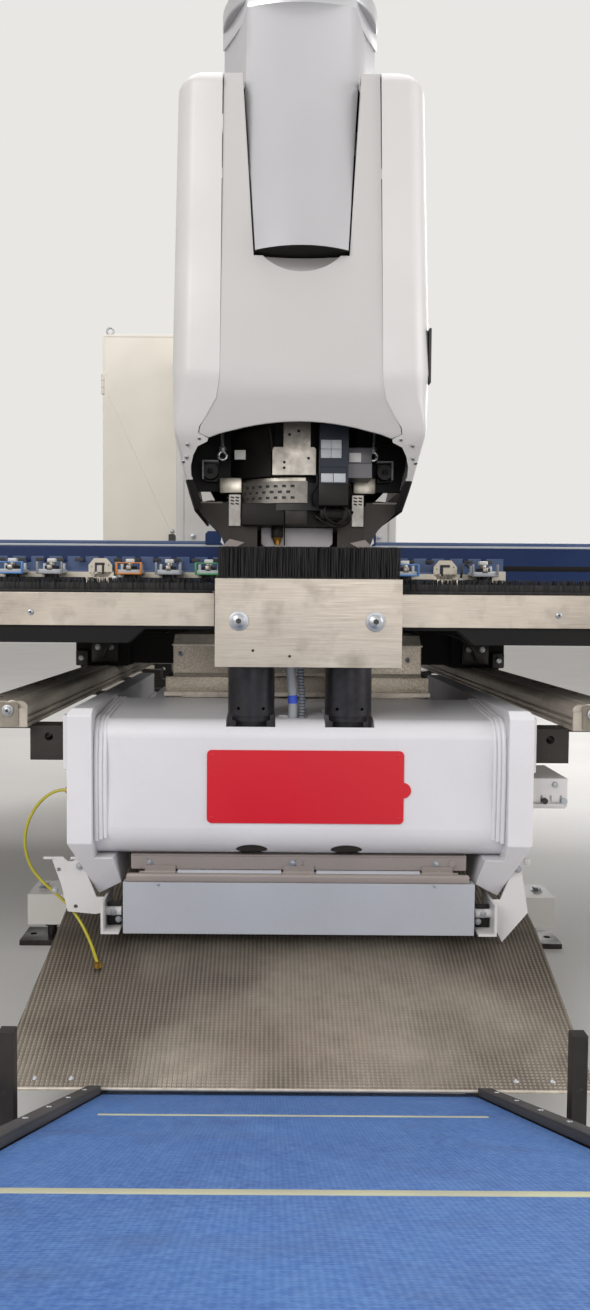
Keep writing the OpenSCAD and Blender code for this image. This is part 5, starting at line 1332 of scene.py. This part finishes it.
def frame_details():
    """Screws, covers, louvres and cable runs on the frame's other sides."""
    mesh = bmesh.new()
    for y in (1760, 2170, 2580):
        for z in (470, 1180, 1890):
            for s in ((1,) if 2000 < y < 2400 else (-1, 1)):
                button_screw(mesh, (s * 450, y, z), (s, 0, 0), 8)
    for x in (-380, 380):
        for z in (470, 1180, 1890):
            bolt(mesh, (x, 1700, z), FRONT, 9)
    # louvres low on the right side and a round main switch above them
    plate(mesh, 446, 452, 1850, 2250, 560, 900, 10, "X", mat=3)
    for i in range(11):
        block(mesh, 450, 457, 1880, 2220, 590 + 27 * i, 600 + 27 * i, 2, 3)
    plate(mesh, 446, 456, 2340, 2500, 1300, 1520, 8, "X", mat=4)
    rod(mesh, (456, 2420, 1420), (462, 2420, 1420), 34, sides=40, mat=2, edge=2)
    block(mesh, 461, 478, 2411, 2429, 1392, 1448, 4, 2)
    # a cable channel along the upper arm, down the column
    plate(mesh, -70, 70, 262, 1700, 1904, 1934, 4, "Z", mat=3)
    for y in range(330, 1680, 220):
        for x in (-60, 60):
            button_screw(mesh, (x, y, 1934), UP, 5)
    for s in (-1, 1):
        cover(mesh, s, 205, 6, 420, 760, 1420, 1760, 14)
        cover(mesh, s, 205, 6, 960, 1500, 1420, 1760, 14)
        cover(mesh, s, 430, 3, 520, 1180, 170, 380, 10)
        # pipes between the head and the column
        tube(mesh, [(s * 150, 252, 1840), (s * 168, 330, 1900), (s * 150, 520, 1912),
                    (s * 120, 900, 1912), (s * 120, 1640, 1912), (s * 124, 1700, 1900)], 11, 2, 20)
        for y in (620, 1000, 1400):
            block(mesh, s * 100, s * 140, y - 9, y + 9, 1900, 1926, 3, 5)
        # bolts of the outriggers
        for y in (265, 2465):
            for x in (560, 660):
                bolt(mesh, (s * x, y, 140), UP, 12)
    piece("frame_fittings", mesh, [SCREW, RUBBER, RUBBER, COLUMN, GREY, OILED], "machine_frame")


frame_details()

# Studio

def studio():
    """A plain pale floor, a pale surround and five soft panels."""
    bpy.ops.mesh.primitive_plane_add(size=40, location=(0, 0, 0))
    floor = bpy.context.object
    floor.name = "studio_floor"
    f = Finish("pale_studio_floor", Roughness=0.7)
    floor.data.materials.append(f.done(f.mixed(f.noise(600, 3), "#dcdad7", "#e2e0dd")))
    world = bpy.data.worlds.new("studio")
    world.use_nodes = True
    bpy.context.scene.world = world
    tree = world.node_tree
    tree.nodes.clear()
    path = add(tree, "LightPath")
    shown = add(tree, "Math", {0: path.outputs["Is Camera Ray"], 1: path.outputs["Is Glossy Ray"]},
                operation="MAXIMUM")
    strength = add(tree, "MapRange", {0: shown.outputs[0], 3: 0.46, 4: 0.9})
    sky = add(tree, "Background", {"Color": srgb("#f4f2ef"), "Strength": strength.outputs[0]})
    add(tree, "OutputWorld", {"Surface": sky.outputs[0]})
    for name, place, target, size, power in (
            ("key_panel", (-2.8, -4.6, 3.4), (0, -0.4, 0.9), 3.0, 165),
            ("side_panel", (4.2, -1.4, 2.4), (0, -0.4, 1.2), 3.0, 120),
            ("low_panel", (0.6, -4.4, 1.5), (0, 0.0, 0.7), 1.6, 22),
            ("top_panel", (0, 0.6, 5.5), (0, 0.2, 0), 4.0, 120),
            ("rear_panel", (2.5, 5.0, 3.5), (0, 1.0, 1.0), 3.0, 110)):
        lamp = bpy.data.lights.new(name, "AREA")
        lamp.size = size
        lamp.energy = power
        thing = bpy.data.objects.new(name, lamp)
        thing.location = place
        aim = Vector(target) - Vector(place)
        thing.rotation_euler = aim.to_track_quat("-Z", "Y").to_euler()
        bpy.context.scene.collection.objects.link(thing)


def photo_camera():
    """The photograph's viewpoint: close in front, at the height of the nose table."""
    lens = bpy.data.cameras.new("photo_camera")
    lens.sensor_width = 36
    lens.lens = 27.04
    lens.shift_x = 0.0176
    lens.clip_start = 0.05
    eye = bpy.data.objects.new("photo_camera", lens)
    eye.location = (-0.0558, PUNCH_Y - 2.34, 0.90)
    eye.rotation_euler = (math.radians(90 - 2.9), math.radians(-0.4), 0)
    bpy.context.scene.collection.objects.link(eye)
    bpy.context.scene.camera = eye


studio()
photo_camera()
bpy.context.scene.view_settings.view_transform = "Standard"
